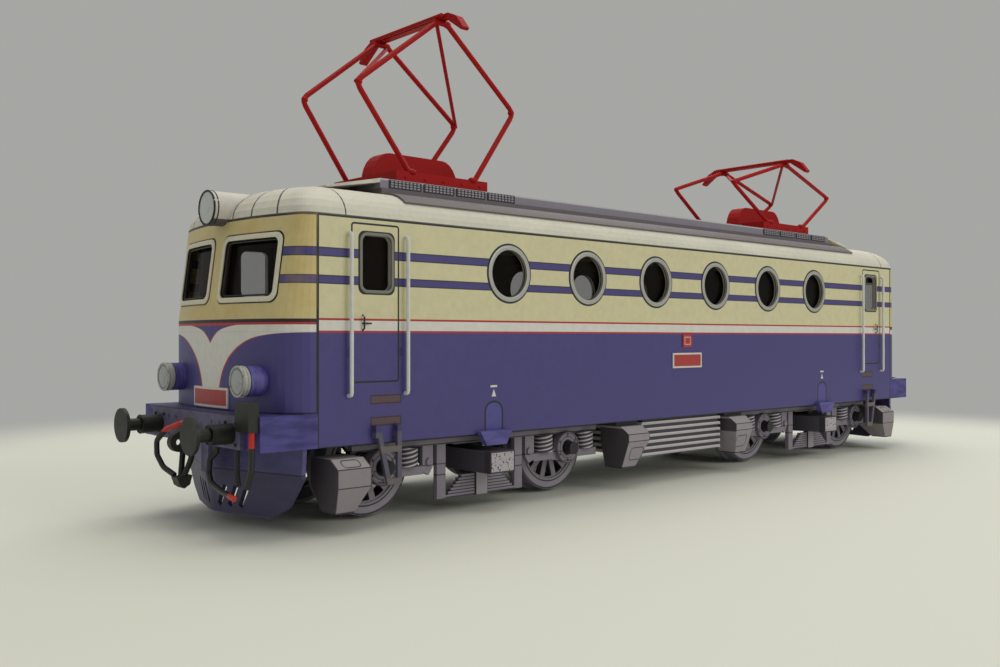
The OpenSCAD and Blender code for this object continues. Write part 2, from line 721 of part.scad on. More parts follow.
// Bent-wire rails on both sides of each door
module handrails() {
    rail_r = 0.27;
    stand_off = 0.75;
    low_z = 17.2;
    top_z = 38.3;
    rail_y = body_half_w + stand_off;
    color("white") on_rail() both_sides() both_ends() for (x = [door_x - 4.65, door_x + 4.45])
        wire(eased([[x, body_half_w, low_z], [x, rail_y, low_z], [x, rail_y, top_z], [x, body_half_w, top_z]],
                   0.4, 2), rail_r, [1, 0, 0], 8);
}

// Trapezium-shaped shelves at the sill, under the sand filler flaps
module sand_fillers() {
    shelf_out = 1;
    color(blue) on_rail() both_sides() both_ends() across(body_half_w, shelf_out)
        polygon([[pivot_x - 2.9, sill_z + 0.5], [pivot_x - 1.7, sill_z - 1.6],
                 [pivot_x + 2.1, sill_z - 1.6], [pivot_x + 3.4, sill_z + 0.5]]);
}

// Blank plates: two on each side and one on each front
module number_plates() {
    plate_t = 0.2;
    front_half_w = 4.9;
    color(red) on_rail() {
        both_sides() translate([-4.15, body_half_w, 19.35]) cube([8.3, plate_t, 2.65]);
        both_sides() translate([-1.3, body_half_w, 23]) cube([2.6, plate_t, 2.3]);
        both_ends() intersection() {
            front_wall([15.4, 18.1], -plate_t, 0);
            translate([front_x - 1, -front_half_w, 15]) cube([2, 2 * front_half_w, 4]);
        }
    }
}

// --- Boxes under the middle ----------------------------------------------------------------

module centre_box() {
    rib_depth = 0.3;
    box_half_y = inner_half_w - 0.1;
    rib_pitch = (sill_z - centre_box_low_z) / rib_count;
    color(grey) on_rail() {
        translate([-centre_box_half_len + rib_depth, -box_half_y + rib_depth, centre_box_low_z])
            cube([2 * (centre_box_half_len - rib_depth), 2 * (box_half_y - rib_depth),
                  floor_z - centre_box_low_z]);
        for (i = [0:rib_count - 1])
            translate([-centre_box_half_len, -box_half_y, centre_box_low_z + i * rib_pitch])
                cube([2 * centre_box_half_len, 2 * box_half_y, rib_pitch / 2]);
    }
}

// A box whose lower part tapers to one plumb corner; its lid slopes up to the sill
module hopper(len, out_y, in_y, break_z, lid_z, low_z, low_len, low_out, low_in) {
    loft([
        [[len - low_len, low_in, low_z], [len, low_in, low_z], [len, low_out, low_z],
         [len - low_len, low_out, low_z]],
        [[0, in_y, break_z], [len, in_y, break_z], [len, out_y, break_z], [0, out_y, break_z]],
        [[0, in_y, lid_z], [len, in_y, lid_z], [len, out_y, lid_z], [0, out_y, lid_z]]
    ]);
}

// Equipment boxes between the ribbed box and the bogies, hung from the floor
module equipment_boxes() {
    in_y = 12.5;
    lid_z = 8.7;
    color(grey) on_rail() both_sides() both_ends() translate([side_box_in, 0, 0]) {
        hopper(side_box_len, box_half_w, in_y, 7.5, lid_z, 3, 3.4, box_half_w - 1.6, in_y + 1);
        along(0, side_box_len)
            polygon([[in_y, lid_z], [box_half_w, lid_z], [body_half_w, sill_z - 0.7],
                     [inner_half_w - 0.1, sill_z - 0.7],
                     [inner_half_w - 0.1, floor_z], [in_y, floor_z]]);
    }
}

// --- Current collectors --------------------------------------------------------------------

module collector_base() {
    arch_w = 3.2;
    case_half = base_half_len - base_t;
    translate([0, 0, walkway_z]) {
        difference() {
            translate([-base_half_len, -base_half_w - base_t / 2, 0])
                cube([2 * base_half_len, 2 * base_half_w + base_t, base_h]);
            translate([-base_half_len + base_t, -base_half_w + base_t / 2, -past])
                cube([2 * (base_half_len - base_t), 2 * base_half_w - base_t, base_h + 2 * past]);
        }
        across(-case_t / 2, case_t) polygon(concat(
            [[case_half, 0]],
            [for (i = [0:6]) let (a = 15 * i)
                [case_half - arch_w * (1 - cos(a)), 1.1 + (case_h - 1.1) * sin(a)]],
            [for (i = [6:-1:0]) let (a = 15 * i)
                [-case_half + arch_w * (1 - cos(a)), 1.1 + (case_h - 1.1) * sin(a)]],
            [[-case_half, 0]]));
    }
}

// Four bent-wire legs in two diamonds, with two slanting braces
module collector_frame(elbow_x, elbow_h, top_h) {
    foot_x = 6.4;
    top_x = 1;
    elbow_y = base_half_w - 0.7;
    top_y = base_half_w - 0.2;
    translate([0, 0, walkway_z]) difference() {
        union() {
            both_sides() both_ends()
                wire(eased([[foot_x - 0.5, base_half_w, base_h - 0.7], [elbow_x, elbow_y, elbow_h],
                            [top_x, top_y, top_h]], 1.2, 3), wire_r);
            both_sides() translate([0, top_y, top_h]) rod_x(-top_x - wire_r, 2 * (top_x + wire_r), wire_r);
            wire([[top_x, top_y, top_h - 0.3], [-elbow_x, -elbow_y, elbow_h]], wire_r * 0.75, [1, 0, 0.3]);
            wire([[-top_x, -top_y, top_h - 0.3], [elbow_x, elbow_y, elbow_h]], wire_r * 0.75, [1, 0, 0.3]);
        }
        translate([-elbow_x, -base_half_w - past, base_h - 2 * past])
            cube([2 * elbow_x, 2 * (base_half_w + past), 2 * past + seat_gap]);
    }
}

// The flat contact strip with drooping horns, and the thin bar beside it
module contact_bow(top_h) {
    horn_y = bow_half_len;
    seat_z = walkway_z + top_h + wire_r + seat_gap;
    strip_w = 1.3;
    strip_t = 0.6;
    flat_y = 9.2;
    bar_r = 0.3;
    along(-strip_w / 2, strip_w) polygon(concat(
        [[-flat_y, seat_z], [flat_y, seat_z]],
        [[horn_y - 0.5, seat_z - 2.6], [horn_y, seat_z - 2.3], [horn_y - 1.6, seat_z - 0.3],
         [flat_y + 0.8, seat_z + strip_t]],
        [[-flat_y - 0.8, seat_z + strip_t], [-horn_y + 1.6, seat_z - 0.3], [-horn_y, seat_z - 2.3],
         [-horn_y + 0.5, seat_z - 2.6]]));
    translate([1.15, 0, seat_z + bar_r]) rod_y(-flat_y, 2 * flat_y, bar_r);
    for (y = [-flat_y + 0.6, flat_y - 0.6]) translate([0, y - 0.25, seat_z]) cube([1.15, 0.5, 0.3]);
}

module collector_base_1() color(red) on_rail() translate([collector_front_x, 0, 0]) collector_base();
module collector_base_2() color(red) on_rail() translate([-collector_rear_x, 0, 0]) collector_base();
module collector_frame_1() color(red) on_rail() translate([collector_front_x, 0, 0])
    collector_frame(15.3, front_elbow_h, front_top_h);
module collector_frame_2() color(red) on_rail() translate([-collector_rear_x, 0, 0])
    collector_frame(18.8, rear_elbow_h, rear_top_h);
module contact_bow_1() color(red) on_rail() translate([collector_front_x, 0, 0]) contact_bow(front_top_h);
module contact_bow_2() color(red) on_rail() translate([-collector_rear_x, 0, 0]) contact_bow(rear_top_h);

// High-tension lead that drops from the rear collector's base to the walkway
module roof_lead() {
    start_x = -collector_rear_x + base_half_len;
    lead_y = 3;
    lead_z = walkway_z + 1.2;
    color(black) on_rail() wire(eased([[start_x + seat_gap, lead_y, lead_z], [start_x + 2.4, lead_y, lead_z],
                                       [start_x + 2.4, lead_y, walkway_z + seat_gap]], 0.7, 3), 0.3);
}

// --- Bogies --------------------------------------------------------------------------------

// Outline of the arms that carry an axlebox, around the axle's centre
module axlebox_arms() polygon([
    [-7.2, -1.7], [-3, -1.7], [-1.6, -2.1], [1.6, -2.1], [3, -1.7], [7.2, -1.7],
    [7.2, -arm_drop], [3, -arm_drop], [2.2, 0.6], [-2.2, 0.6], [-3, -arm_drop], [-7.2, -arm_drop]]);

// A hanger beside a spring, with the end of its pin
module hanger() {
    drop = 2;
    translate([0, 0, frame_beam_z]) across(frame_y, frame_t)
        polygon([[-0.8, 0], [1.1, 0], [1.1, -drop - 1.6], [0, -drop - 2.2], [-0.8, -drop - 1]]);
    translate([0, 0, wheel_r]) rod_y(frame_y, frame_t + 0.35, 0.55);
}

module bogie_side() {
    beam_top_z = 10.4;
    post_in = 6.8;
    post_w = 1.6;
    arm_half = 7.2;
    difference() {
        union() {
            translate([-axle_x - arm_half, frame_y, frame_beam_z])
                cube([2 * axle_x + arm_half + sandbox_back, frame_t, beam_top_z - frame_beam_z]);
            for (s = [-1, 1]) {
                translate([s * axle_x, 0, wheel_r]) {
                    across(frame_y, frame_t) axlebox_arms();
                    rod_y(frame_y, frame_t + 0.5, axlebox_r);
                }
                mirror([s < 0 ? 1 : 0, 0, 0]) {
                    translate([axle_x - arm_half - 1, 0, 0]) hanger();
                    translate([post_in, frame_y, 1.6]) cube([post_w, frame_t, frame_beam_z - 1.5]);
                }
            }
        }
        for (s = [-1, 1]) translate([s * axle_x, frame_y - past, wheel_r])
            rod_y(0, frame_t + 2 * past, journal_r + journal_gap);
        // The outer arm ends at the back of the sandbox
        translate([axle_x + sandbox_back, frame_y - past, 0])
            cube([arm_half, frame_t + 2 * past, frame_beam_z]);
    }
}

// Two side frames, the transom between them and the pivot pin
module bogie_frame() {
    transom_half = 5;
    boss_r = 4;
    boss_gap = 0.3;
    both_sides() bogie_side();
    translate([-transom_half, -frame_y - frame_t / 2, 9.2])
        cube([2 * transom_half, 2 * frame_y + frame_t, 1.2]);
    translate([0, 0, 8.3]) cylinder(r = boss_r, h = floor_z - boss_gap - 8.3, $fn = round_fn);
    translate([0, 0, 8.3]) cylinder(r = pivot_r, h = floor_top_z + 0.5 - 8.3, $fn = round_fn);
}

module bolster() translate([-2.4, -bolster_half_w, 5.1]) cube([4.8, 2 * bolster_half_w, 3.2]);

module leaf_spring() {
    low_z = 1.6;
    high_z = 4.7;
    leaf_h = (high_z - low_z) / leaf_count;
    for (i = [0:leaf_count - 1])
        let (half = 6.8 - (6.8 - 3.8) * i / (leaf_count - 1))
        translate([-half, frame_y, low_z + i * leaf_h]) cube([2 * half, frame_t, leaf_h]);
    translate([-1.15, frame_y - 0.1, low_z - 0.1]) cube([2.3, frame_t + 0.3, 5.1 - low_z + 0.1]);
}

// Coil springs between the axlebox arms and the frame; the outermost place is the sandbox's
module coil_spring_set() both_sides() for (x = [axle_x - coil_x, -axle_x + coil_x, -axle_x - coil_x])
    translate([x, frame_y + frame_t / 2, wheel_r - arm_drop + seat_gap])
        cylinder(r = coil_r, h = frame_beam_z - wheel_r + arm_drop - 2 * seat_gap, $fn = round_fn);

// Sandboxes at the outer end, each against the end of its side frame
module sandbox_pair() both_sides() translate([axle_x + sandbox_back, 0, 0]) {
    len = 5.2;
    in_y = 12.3;
    lid_z = 7.9;
    hopper(len, box_half_w, in_y, 5.5, lid_z, 2.2, 2.8, box_half_w - 0.6, in_y + 2.6);
    along(0, len) polygon([[in_y, lid_z], [box_half_w, lid_z], [body_half_w, 9.1], [in_y, 9.1]]);
}

module wheel_disc() {
    rim_in = wheel_r - wheel_rim_w;
    web_out = wheel_face_y - 0.3;
    web_in = web_out - spoke_t;
    face_in = wheel_face_y - wheel_w;
    difference() {
        rotate([-90, 0, 0]) rotate_extrude($fn = 72) polygon([
            [0, face_in], [hub_r, face_in], [hub_r, web_in], [rim_in, web_in], [rim_in, face_in],
            [wheel_r + flange_h, face_in], [wheel_r + flange_h, face_in + flange_t - 0.15],
            [wheel_r, face_in + flange_t + 0.15], [wheel_r, wheel_face_y], [rim_in, wheel_face_y],
            [rim_in, web_out], [hub_r, web_out], [hub_r, wheel_face_y], [0, wheel_face_y]]);
        for (i = [0:spoke_count - 1]) rotate([0, i * 360 / spoke_count, 0])
            across(web_in - past / 4, spoke_t + past / 2) polygon(spoke_window(hub_r + 0.35, rim_in - 0.25));
    }
}

// Opening between two spokes
function spoke_window(r_in, r_out, steps = 3) =
    let (
        half = 180 / spoke_count,
        a_in = half - asin(spoke_w / 2 / r_in),
        a_out = half - asin(spoke_w / 2 / r_out))
    concat(
        [for (i = [0:1]) let (a = a_in * (1 - 2 * i)) [r_in * cos(a), r_in * sin(a)]],
        [for (i = [0:steps]) let (a = -a_out + 2 * a_out * i / steps) [r_out * cos(a), r_out * sin(a)]]);

module wheelset() translate([0, 0, wheel_r]) {
    rod_y(-axle_half_len, 2 * axle_half_len, journal_r);
    both_sides() wheel_disc();
}

module bogie_frame_1() color(grey) on_rail() translate([pivot_x, 0, 0]) bogie_frame();
module bogie_frame_2() color(grey) on_rail() mirror([1, 0, 0]) translate([pivot_x, 0, 0]) bogie_frame();
module bolster_1() color(grey) on_rail() translate([pivot_x, 0, 0]) bolster();
module bolster_2() color(grey) on_rail() translate([-pivot_x, 0, 0]) bolster();
module leaf_springs_1() color(grey) on_rail() translate([pivot_x, 0, 0]) both_sides() leaf_spring();
module leaf_springs_2() color(grey) on_rail() translate([-pivot_x, 0, 0]) both_sides() leaf_spring();
module coil_springs_1() color(grey) on_rail() translate([pivot_x, 0, 0]) coil_spring_set();
module coil_springs_2() color(grey) on_rail() mirror([1, 0, 0]) translate([pivot_x, 0, 0]) coil_spring_set();
module sandboxes_1() color(grey) on_rail() translate([pivot_x, 0, 0]) sandbox_pair();
module sandboxes_2() color(grey) on_rail() mirror([1, 0, 0]) translate([pivot_x, 0, 0]) sandbox_pair();
module wheelset_1() color(grey) on_rail() translate([pivot_x + axle_x, 0, 0]) wheelset();
module wheelset_2() color(grey) on_rail() translate([pivot_x - axle_x, 0, 0]) wheelset();
module wheelset_3() color(grey) on_rail() translate([-pivot_x + axle_x, 0, 0]) wheelset();
module wheelset_4() color(grey) on_rail() translate([-pivot_x - axle_x, 0, 0]) wheelset();

side_wall_left();
side_wall_right();
cab_front_1();
cab_front_2();
roof();
roof_end_1();
roof_end_2();
roof_walkway();
walkway_cowls();
walkway_grilles();
floor_plate();
bulkheads();
window_foil();
underframe_end_1();
underframe_end_2();
buffer_beams();
buffers_1();
buffers_2();
coupling_1();
coupling_2();
brake_hoses_1();
brake_hoses_2();
jumper_boxes();
snow_plough_1();
snow_plough_2();
lower_lamps();
upper_lamps();
lamp_lenses();
door_steps();
handrails();
sand_fillers();
number_plates();
centre_box();
equipment_boxes();
collector_base_1();
collector_base_2();
collector_frame_1();
collector_frame_2();
contact_bow_1();
contact_bow_2();
roof_lead();
bogie_frame_1();
bogie_frame_2();
bolster_1();
bolster_2();
leaf_springs_1();
leaf_springs_2();
coil_springs_1();
coil_springs_2();
sandboxes_1();
sandboxes_2();
wheelset_1();
wheelset_2();
wheelset_3();
wheelset_4();
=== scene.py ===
"""Finishes and added detail for a card scale model of a four-axle electric locomotive.

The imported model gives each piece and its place. This script prints and paints those pieces, adds the
window rims, lamp rims, door fittings and wire joints that are too fine for the frame, and sets the studio.
Sizes are in millimetres, with heights above the rail head, until a mesh or a shader needs metres.
"""

from __future__ import annotations

import copy
import logging
import math
from dataclasses import dataclass, field
from enum import Enum
from typing import Any, ClassVar, Mapping, Optional, Sequence, Union

import bpy
from mathutils import Matrix, Vector


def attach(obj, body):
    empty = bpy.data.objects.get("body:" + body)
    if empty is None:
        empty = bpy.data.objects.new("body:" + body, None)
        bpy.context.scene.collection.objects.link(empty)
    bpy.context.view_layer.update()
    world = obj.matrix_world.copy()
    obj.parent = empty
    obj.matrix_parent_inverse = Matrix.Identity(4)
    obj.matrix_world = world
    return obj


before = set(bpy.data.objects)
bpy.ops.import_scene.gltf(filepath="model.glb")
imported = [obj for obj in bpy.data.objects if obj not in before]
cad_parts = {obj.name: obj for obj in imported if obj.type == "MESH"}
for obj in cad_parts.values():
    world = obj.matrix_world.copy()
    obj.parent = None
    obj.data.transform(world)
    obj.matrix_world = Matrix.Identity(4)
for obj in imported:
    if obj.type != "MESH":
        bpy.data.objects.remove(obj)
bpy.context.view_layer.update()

LOG = logging.getLogger("card_locomotive")
MM = 0.001
# The wheel flanges hang this far below the rail head, and the frame's zero is under them.
RAIL_LIFT = 0.5
# Soft edge of printed ink on paper.
INK_EDGE = 0.05


class End(Enum):
    """The two ends of the locomotive, by their sign along X."""

    FRONT = 1
    REAR = -1


class Side(Enum):
    """The two sides of the locomotive, by their sign along Y."""

    LEFT = 1
    RIGHT = -1


def linear(colour: str, alpha: float = 1.0) -> tuple[float, float, float, float]:
    """Turn an sRGB hex colour into the linear values that shaders take.

    Args:
        colour: The colour as "#rrggbb".
        alpha: The fourth value.

    Returns:
        Red, green, blue and alpha.
    """
    parts = [int(colour[i : i + 2], 16) / 255 for i in (1, 3, 5)]
    red, green, blue = (c / 12.92 if c <= 0.04045 else ((c + 0.055) / 1.055) ** 2.4 for c in parts)
    return (red, green, blue, alpha)


def add_node(
    tree: bpy.types.NodeTree, kind: str, settings: Mapping[str, Any], inputs: Mapping[Any, Any]
) -> bpy.types.Node:
    """Add one node with its settings and links.

    Args:
        tree: The node tree that takes it.
        kind: The node's type name.
        settings: Attributes to set on the node.
        inputs: Values, sockets or fields for its inputs, by name or number.

    Returns:
        The new node.
    """
    node = tree.nodes.new(kind)
    for name, value in settings.items():
        setattr(node, name, value)
    for key, value in inputs.items():
        source = value.socket if isinstance(value, Field) else value
        if isinstance(source, bpy.types.NodeSocket):
            tree.links.new(source, node.inputs[key])
        else:
            node.inputs[key].default_value = source
    return node


@dataclass(frozen=True)
class Field:
    """A value that changes over a surface; ordinary arithmetic on it adds shader nodes."""

    tree: bpy.types.NodeTree
    socket: bpy.types.NodeSocket

    def math(self, operation: str, *others: Union[Field, float], clamp: bool = False) -> Field:
        """Work out one step of arithmetic.

        Args:
            operation: The Math node's operation.
            others: The other operands.
            clamp: Whether the result is kept between 0 and 1.

        Returns:
            The result.
        """
        inputs = dict(enumerate((self, *others)))
        node = add_node(self.tree, "ShaderNodeMath", {"operation": operation, "use_clamp": clamp}, inputs)
        return Field(self.tree, node.outputs[0])

    def __add__(self, other: Union[Field, float]) -> Field:
        """Add."""
        return self.math("ADD", other)

    def __sub__(self, other: Union[Field, float]) -> Field:
        """Subtract."""
        return self.math("SUBTRACT", other)

    def __mul__(self, other: Union[Field, float]) -> Field:
        """Multiply."""
        return self.math("MULTIPLY", other)

    def __truediv__(self, other: Union[Field, float]) -> Field:
        """Divide."""
        return self.math("DIVIDE", other)

    def __abs__(self) -> Field:
        """Drop the sign."""
        return self.math("ABSOLUTE")

    def under(self, limit: Union[Field, float], soft: float = INK_EDGE) -> Field:
        """Mask that is 1 where this is below a limit."""
        return (self - limit).math("MULTIPLY_ADD", -1 / soft, 0.5, clamp=True)

    def over(self, limit: Union[Field, float], soft: float = INK_EDGE) -> Field:
        """Mask that is 1 where this is above a limit."""
        return (self - limit).math("MULTIPLY_ADD", 1 / soft, 0.5, clamp=True)

    def between(self, low: float, high: float, soft: float = INK_EDGE) -> Field:
        """Mask that is 1 between two limits."""
        return abs(self - (low + high) / 2).under((high - low) / 2, soft)

    def near(self, centre: float, half_width: float, soft: float = INK_EDGE) -> Field:
        """Mask that is 1 within a distance of a value."""
        return abs(self - centre).under(half_width, soft)

    def wrapped(self, first: float, pitch: float, count: int) -> Field:
        """Distance from the nearest of several evenly spaced values.

        Args:
            first: The first value.
            pitch: The distance between values.
            count: How many there are.

        Returns:
            The signed distance.
        """
        step = ((self - first) / pitch).math("ROUND").math("MAXIMUM", 0.0).math("MINIMUM", count - 1.0)
        return self - first - step * pitch


def oblong(across: Field, up: Field, box: tuple[float, float, float, float], radius: float) -> Field:
    """Distance outside a rounded rectangle, less than zero inside it.

    Args:
        across: The coordinate along the first side.
        up: The coordinate along the second side.
        box: Low and high edge across, then low and high edge up.
        radius: The corner radius, over zero.

    Returns:
        The signed distance.
    """
    mid_a, half_a = (box[0] + box[1]) / 2, (box[1] - box[0]) / 2 - radius
    mid_u, half_u = (box[2] + box[3]) / 2, (box[3] - box[2]) / 2 - radius
    past_a = abs(across - mid_a) - half_a
    past_u = abs(up - mid_u) - half_u
    out_a = past_a.math("MAXIMUM", 0.0)
    out_u = past_u.math("MAXIMUM", 0.0)
    inside = past_a.math("MAXIMUM", past_u).math("MINIMUM", 0.0)
    return (out_a * out_a + out_u * out_u).math("SQRT") + inside - radius


class Canvas:
    """A finish as it is built: its nodes, the place on the piece in millimetres, and the colour so far."""

    def __init__(self, name: str, base: str) -> None:
        """Start with one colour all over.

        Args:
            name: The material's name.
            base: The colour.
        """
        self.material = bpy.data.materials.new(name)
        self.material.use_nodes = True
        self.tree = self.material.node_tree
        self.tree.nodes.clear()
        coordinates = add_node(self.tree, "ShaderNodeTexCoord", {}, {})
        scaled = add_node(
            self.tree,
            "ShaderNodeVectorMath",
            {"operation": "MULTIPLY_ADD"},
            {0: coordinates.outputs["Object"], 1: (1 / MM,) * 3, 2: (0, 0, -RAIL_LIFT)},
        )
        self.place = scaled.outputs[0]
        axes = add_node(self.tree, "ShaderNodeSeparateXYZ", {}, {0: self.place})
        self.x, self.y, self.z = (Field(self.tree, socket) for socket in axes.outputs)
        self.ax, self.ay = abs(self.x), abs(self.y)
        self.colour: Any = linear(base)

    def branch(self) -> Canvas:
        """A second canvas over the same nodes and colour, whose later paint leaves this one as it is."""
        return copy.copy(self)

    def paint(self, mask: Field, colour: str) -> None:
        """Lay a colour where a mask is 1."""
        node = add_node(
            self.tree, "ShaderNodeMix", {"data_type": "RGBA"}, {0: mask, 6: self.colour, 7: linear(colour)}
        )
        self.colour = node.outputs[2]

    def shade(self, amount: Field) -> None:
        """Multiply the colour so far by an amount."""
        node = add_node(
            self.tree, "ShaderNodeVectorMath", {"operation": "SCALE"}, {0: self.colour_socket(), 3: amount}
        )
        self.colour = node.outputs[0]

    def colour_socket(self) -> Any:
        """The colour so far, as a socket or as three numbers."""
        return self.colour if isinstance(self.colour, bpy.types.NodeSocket) else self.colour[:3]

    def noise(self, size: float, detail: float = 2.0, stretch: Sequence[float] = (1, 1, 1)) -> Field:
        """Even noise from 0 to 1.

        Args:
            size: The size of one patch.
            detail: How many finer layers lie on it.
            stretch: How much finer it runs along each axis.

        Returns:
            The noise.
        """
        place: Any = self.place
        if tuple(stretch) != (1, 1, 1):
            node = add_node(
                self.tree, "ShaderNodeVectorMath", {"operation": "MULTIPLY"}, {0: place, 1: tuple(stretch)}
            )
            place = node.outputs[0]
        node = add_node(
            self.tree, "ShaderNodeTexNoise", {}, {"Vector": place, "Scale": 1 / size, "Detail": detail}
        )
        return Field(self.tree, node.outputs[0])

    def faces(self, axis: int) -> Field:
        """How far the surface faces along an axis, from 0 to 1."""
        geometry = add_node(self.tree, "ShaderNodeNewGeometry", {}, {})
        axes = add_node(self.tree, "ShaderNodeSeparateXYZ", {}, {0: geometry.outputs["True Normal"]})
        return abs(Field(self.tree, axes.outputs[axis]))

    def close(self, shader: Mapping[str, Any], height: Optional[Field], depth: float) -> bpy.types.Material:
        """Join the colour to a surface shader.

        Args:
            shader: Values for the shader's sockets.
            height: The relief from 0 to 1, if it has one.
            depth: The relief's depth.

        Returns:
            The finished material.
        """
        inputs = {"Base Color": self.colour, **shader}
        if height is not None:
            bump = add_node(
                self.tree, "ShaderNodeBump", {}, {"Height": height, "Distance": depth * MM, "Strength": 1.0}
            )
            inputs["Normal"] = bump.outputs[0]
        surface = add_node(self.tree, "ShaderNodeBsdfPrincipled", {}, inputs)
        add_node(self.tree, "ShaderNodeOutputMaterial", {}, {0: surface.outputs[0]})
        return self.material


@dataclass(frozen=True)
class Finish:
    """One finish; its kinds below add their printed or painted marks."""

    name: str
    base: str
    roughness: float = 0.55
    mottle: float = 0.10
    mottle_size: float = 1.1
    grain: float = 0.22
    grain_depth: float = 0.012
    ior: float = 1.5
    metallic: float = 0.0
    coat: float = 0.0
    made: ClassVar[dict[str, bpy.types.Material]] = {}

    def draw(self, canvas: Canvas) -> None:
        """Add the marks; a plain finish has none."""

    def build(self) -> bpy.types.Material:
        """Build the material once, and give the same one again.

        Returns:
            The material.
        """
        if self.name in Finish.made:
            return Finish.made[self.name]
        canvas = Canvas(self.name, self.base)
        self.draw(canvas)
        patches = canvas.noise(self.mottle_size, 3.0)
        canvas.shade(patches.math("MULTIPLY_ADD", 2 * self.mottle, 1.0 - self.mottle))
        grain = canvas.noise(self.grain, 2.0)
        canvas.shade(grain.math("MULTIPLY_ADD", self.mottle, 1.0 - self.mottle / 2))
        rough = patches.math("MULTIPLY_ADD", 0.2, self.roughness - 0.1)
        shader = {"Roughness": rough, "IOR": self.ior, "Metallic": self.metallic, "Coat Weight": self.coat}
        Finish.made[self.name] = canvas.close(shader, grain, self.grain_depth)
        return Finish.made[self.name]


@dataclass(frozen=True)
class Livery:
    """Heights, places and colours of the printed livery."""

    side_face: float = 16.9
    seam_x: float = 76.2
    sill: float = 10.7
    band_low: float = 25.5
    band_high: float = 27.1
    stripe_low: tuple[float, float] = (31.6, 32.75)
    stripe_high: tuple[float, float] = (35.1, 36.3)
    cant: float = 40.5
    cream: str = "#d8d2a8"
    blue: str = "#48417f"
    white: str = "#dedcd4"
    red: str = "#b52f36"
    ink: str = "#1d1a1e"
    card_core: str = "#a9a59a"
    cab_inside: str = "#3b2b1c"

    def bands(self, canvas: Canvas) -> None:
        """Print the blue skirt, the white band with its red lines, and the two stripes.

        Args:
            canvas: The finish that takes them.
        """
        canvas.paint(canvas.z.under(self.band_low), self.blue)
        canvas.paint(canvas.z.between(self.band_low, self.band_high), self.white)
        for height in (self.band_low, self.band_high):
            canvas.paint(canvas.z.near(height, 0.14), self.red)
        self.stripes(canvas)

    def stripes(self, canvas: Canvas) -> None:
        """Print the two blue stripes with their dark outlines."""
        for low, high in (self.stripe_low, self.stripe_high):
            canvas.paint(canvas.z.between(low, high), self.ink)
            canvas.paint(canvas.z.between(low + 0.13, high - 0.13), self.blue)


LIVERY = Livery()


@dataclass(frozen=True)
class SidePrint(Finish):
    """Wood-pulp card, printed and varnished: an even satin face, its ink faintly mottled."""

    door: tuple[float, float, float, float] = (63.6, 71.1, 18.9, 39.7)
    door_window: tuple[float, float, float, float] = (64.3, 70.0, 30.5, 38.7)
    porthole_first: float = 8.65
    porthole_pitch: float = 17.25
    porthole_z: float = 34.25
    rim_outer: float = 4.2
    filler: tuple[float, float, float, float] = (44.4, 48.1, 10.0, 15.5)

    def draw(self, canvas: Canvas) -> None:
        """Print the livery, the door, the footholds, the portholes' lines and the sand filler's arch."""
        ink = LIVERY.ink
        LIVERY.bands(canvas)
        canvas.paint(canvas.z.over(LIVERY.cant - 0.22), ink)
        canvas.paint(canvas.ax.over(LIVERY.seam_x - 0.16), ink)
        canvas.paint(canvas.z.under(LIVERY.sill + 0.12), "#2c2745")
        door = oblong(canvas.ax, canvas.z, self.door, 0.35)
        canvas.paint(abs(door).under(0.13), ink)
        window = oblong(canvas.ax, canvas.z, self.door_window, 0.9)
        canvas.paint(window.under(0.1), ink)
        hole_x = canvas.ax.wrapped(self.porthole_first, self.porthole_pitch, 3)
        hole_z = canvas.z - self.porthole_z
        ring = (hole_x * hole_x + hole_z * hole_z).math("SQRT")
        canvas.paint(ring.under(self.rim_outer + 0.28), "#232030")
        for low in (13.0, 15.9):
            foothold = oblong(canvas.ax, canvas.z, (63.1, 68.2, low, low + 1.25), 0.15)
            canvas.paint(foothold.under(0.0), "#3a2a33")
            canvas.paint(foothold.under(-0.2), "#5a454b")
        for rivet_x in (63.2, 71.5):
            hinge = oblong(canvas.ax, canvas.z, (rivet_x - 0.25, rivet_x + 0.25, 22.2, 23.4), 0.2)
            canvas.paint(hinge.under(0.0), "#37315f")
        arch = oblong(canvas.ax, canvas.z, self.filler, 1.7)
        canvas.paint(arch.under(0.0), ink)
        canvas.paint(arch.under(-0.3), "#4f4c93")
        mid = (self.filler[0] + self.filler[1]) / 2
        wedge = abs(canvas.ax - mid) + (canvas.z - 16.1) * 0.42
        canvas.paint(wedge.under(0.45) * canvas.z.between(16.1, 17.2), LIVERY.white)
        canvas.paint(canvas.ax.near(mid, 0.65) * canvas.z.between(17.45, 17.75), LIVERY.white)
        core = canvas.ay.under(LIVERY.side_face - 0.04, 0.03)
        canvas.paint(core, LIVERY.card_core)
        canvas.paint(canvas.ay.under(LIVERY.side_face - 0.76, 0.05), LIVERY.cab_inside)


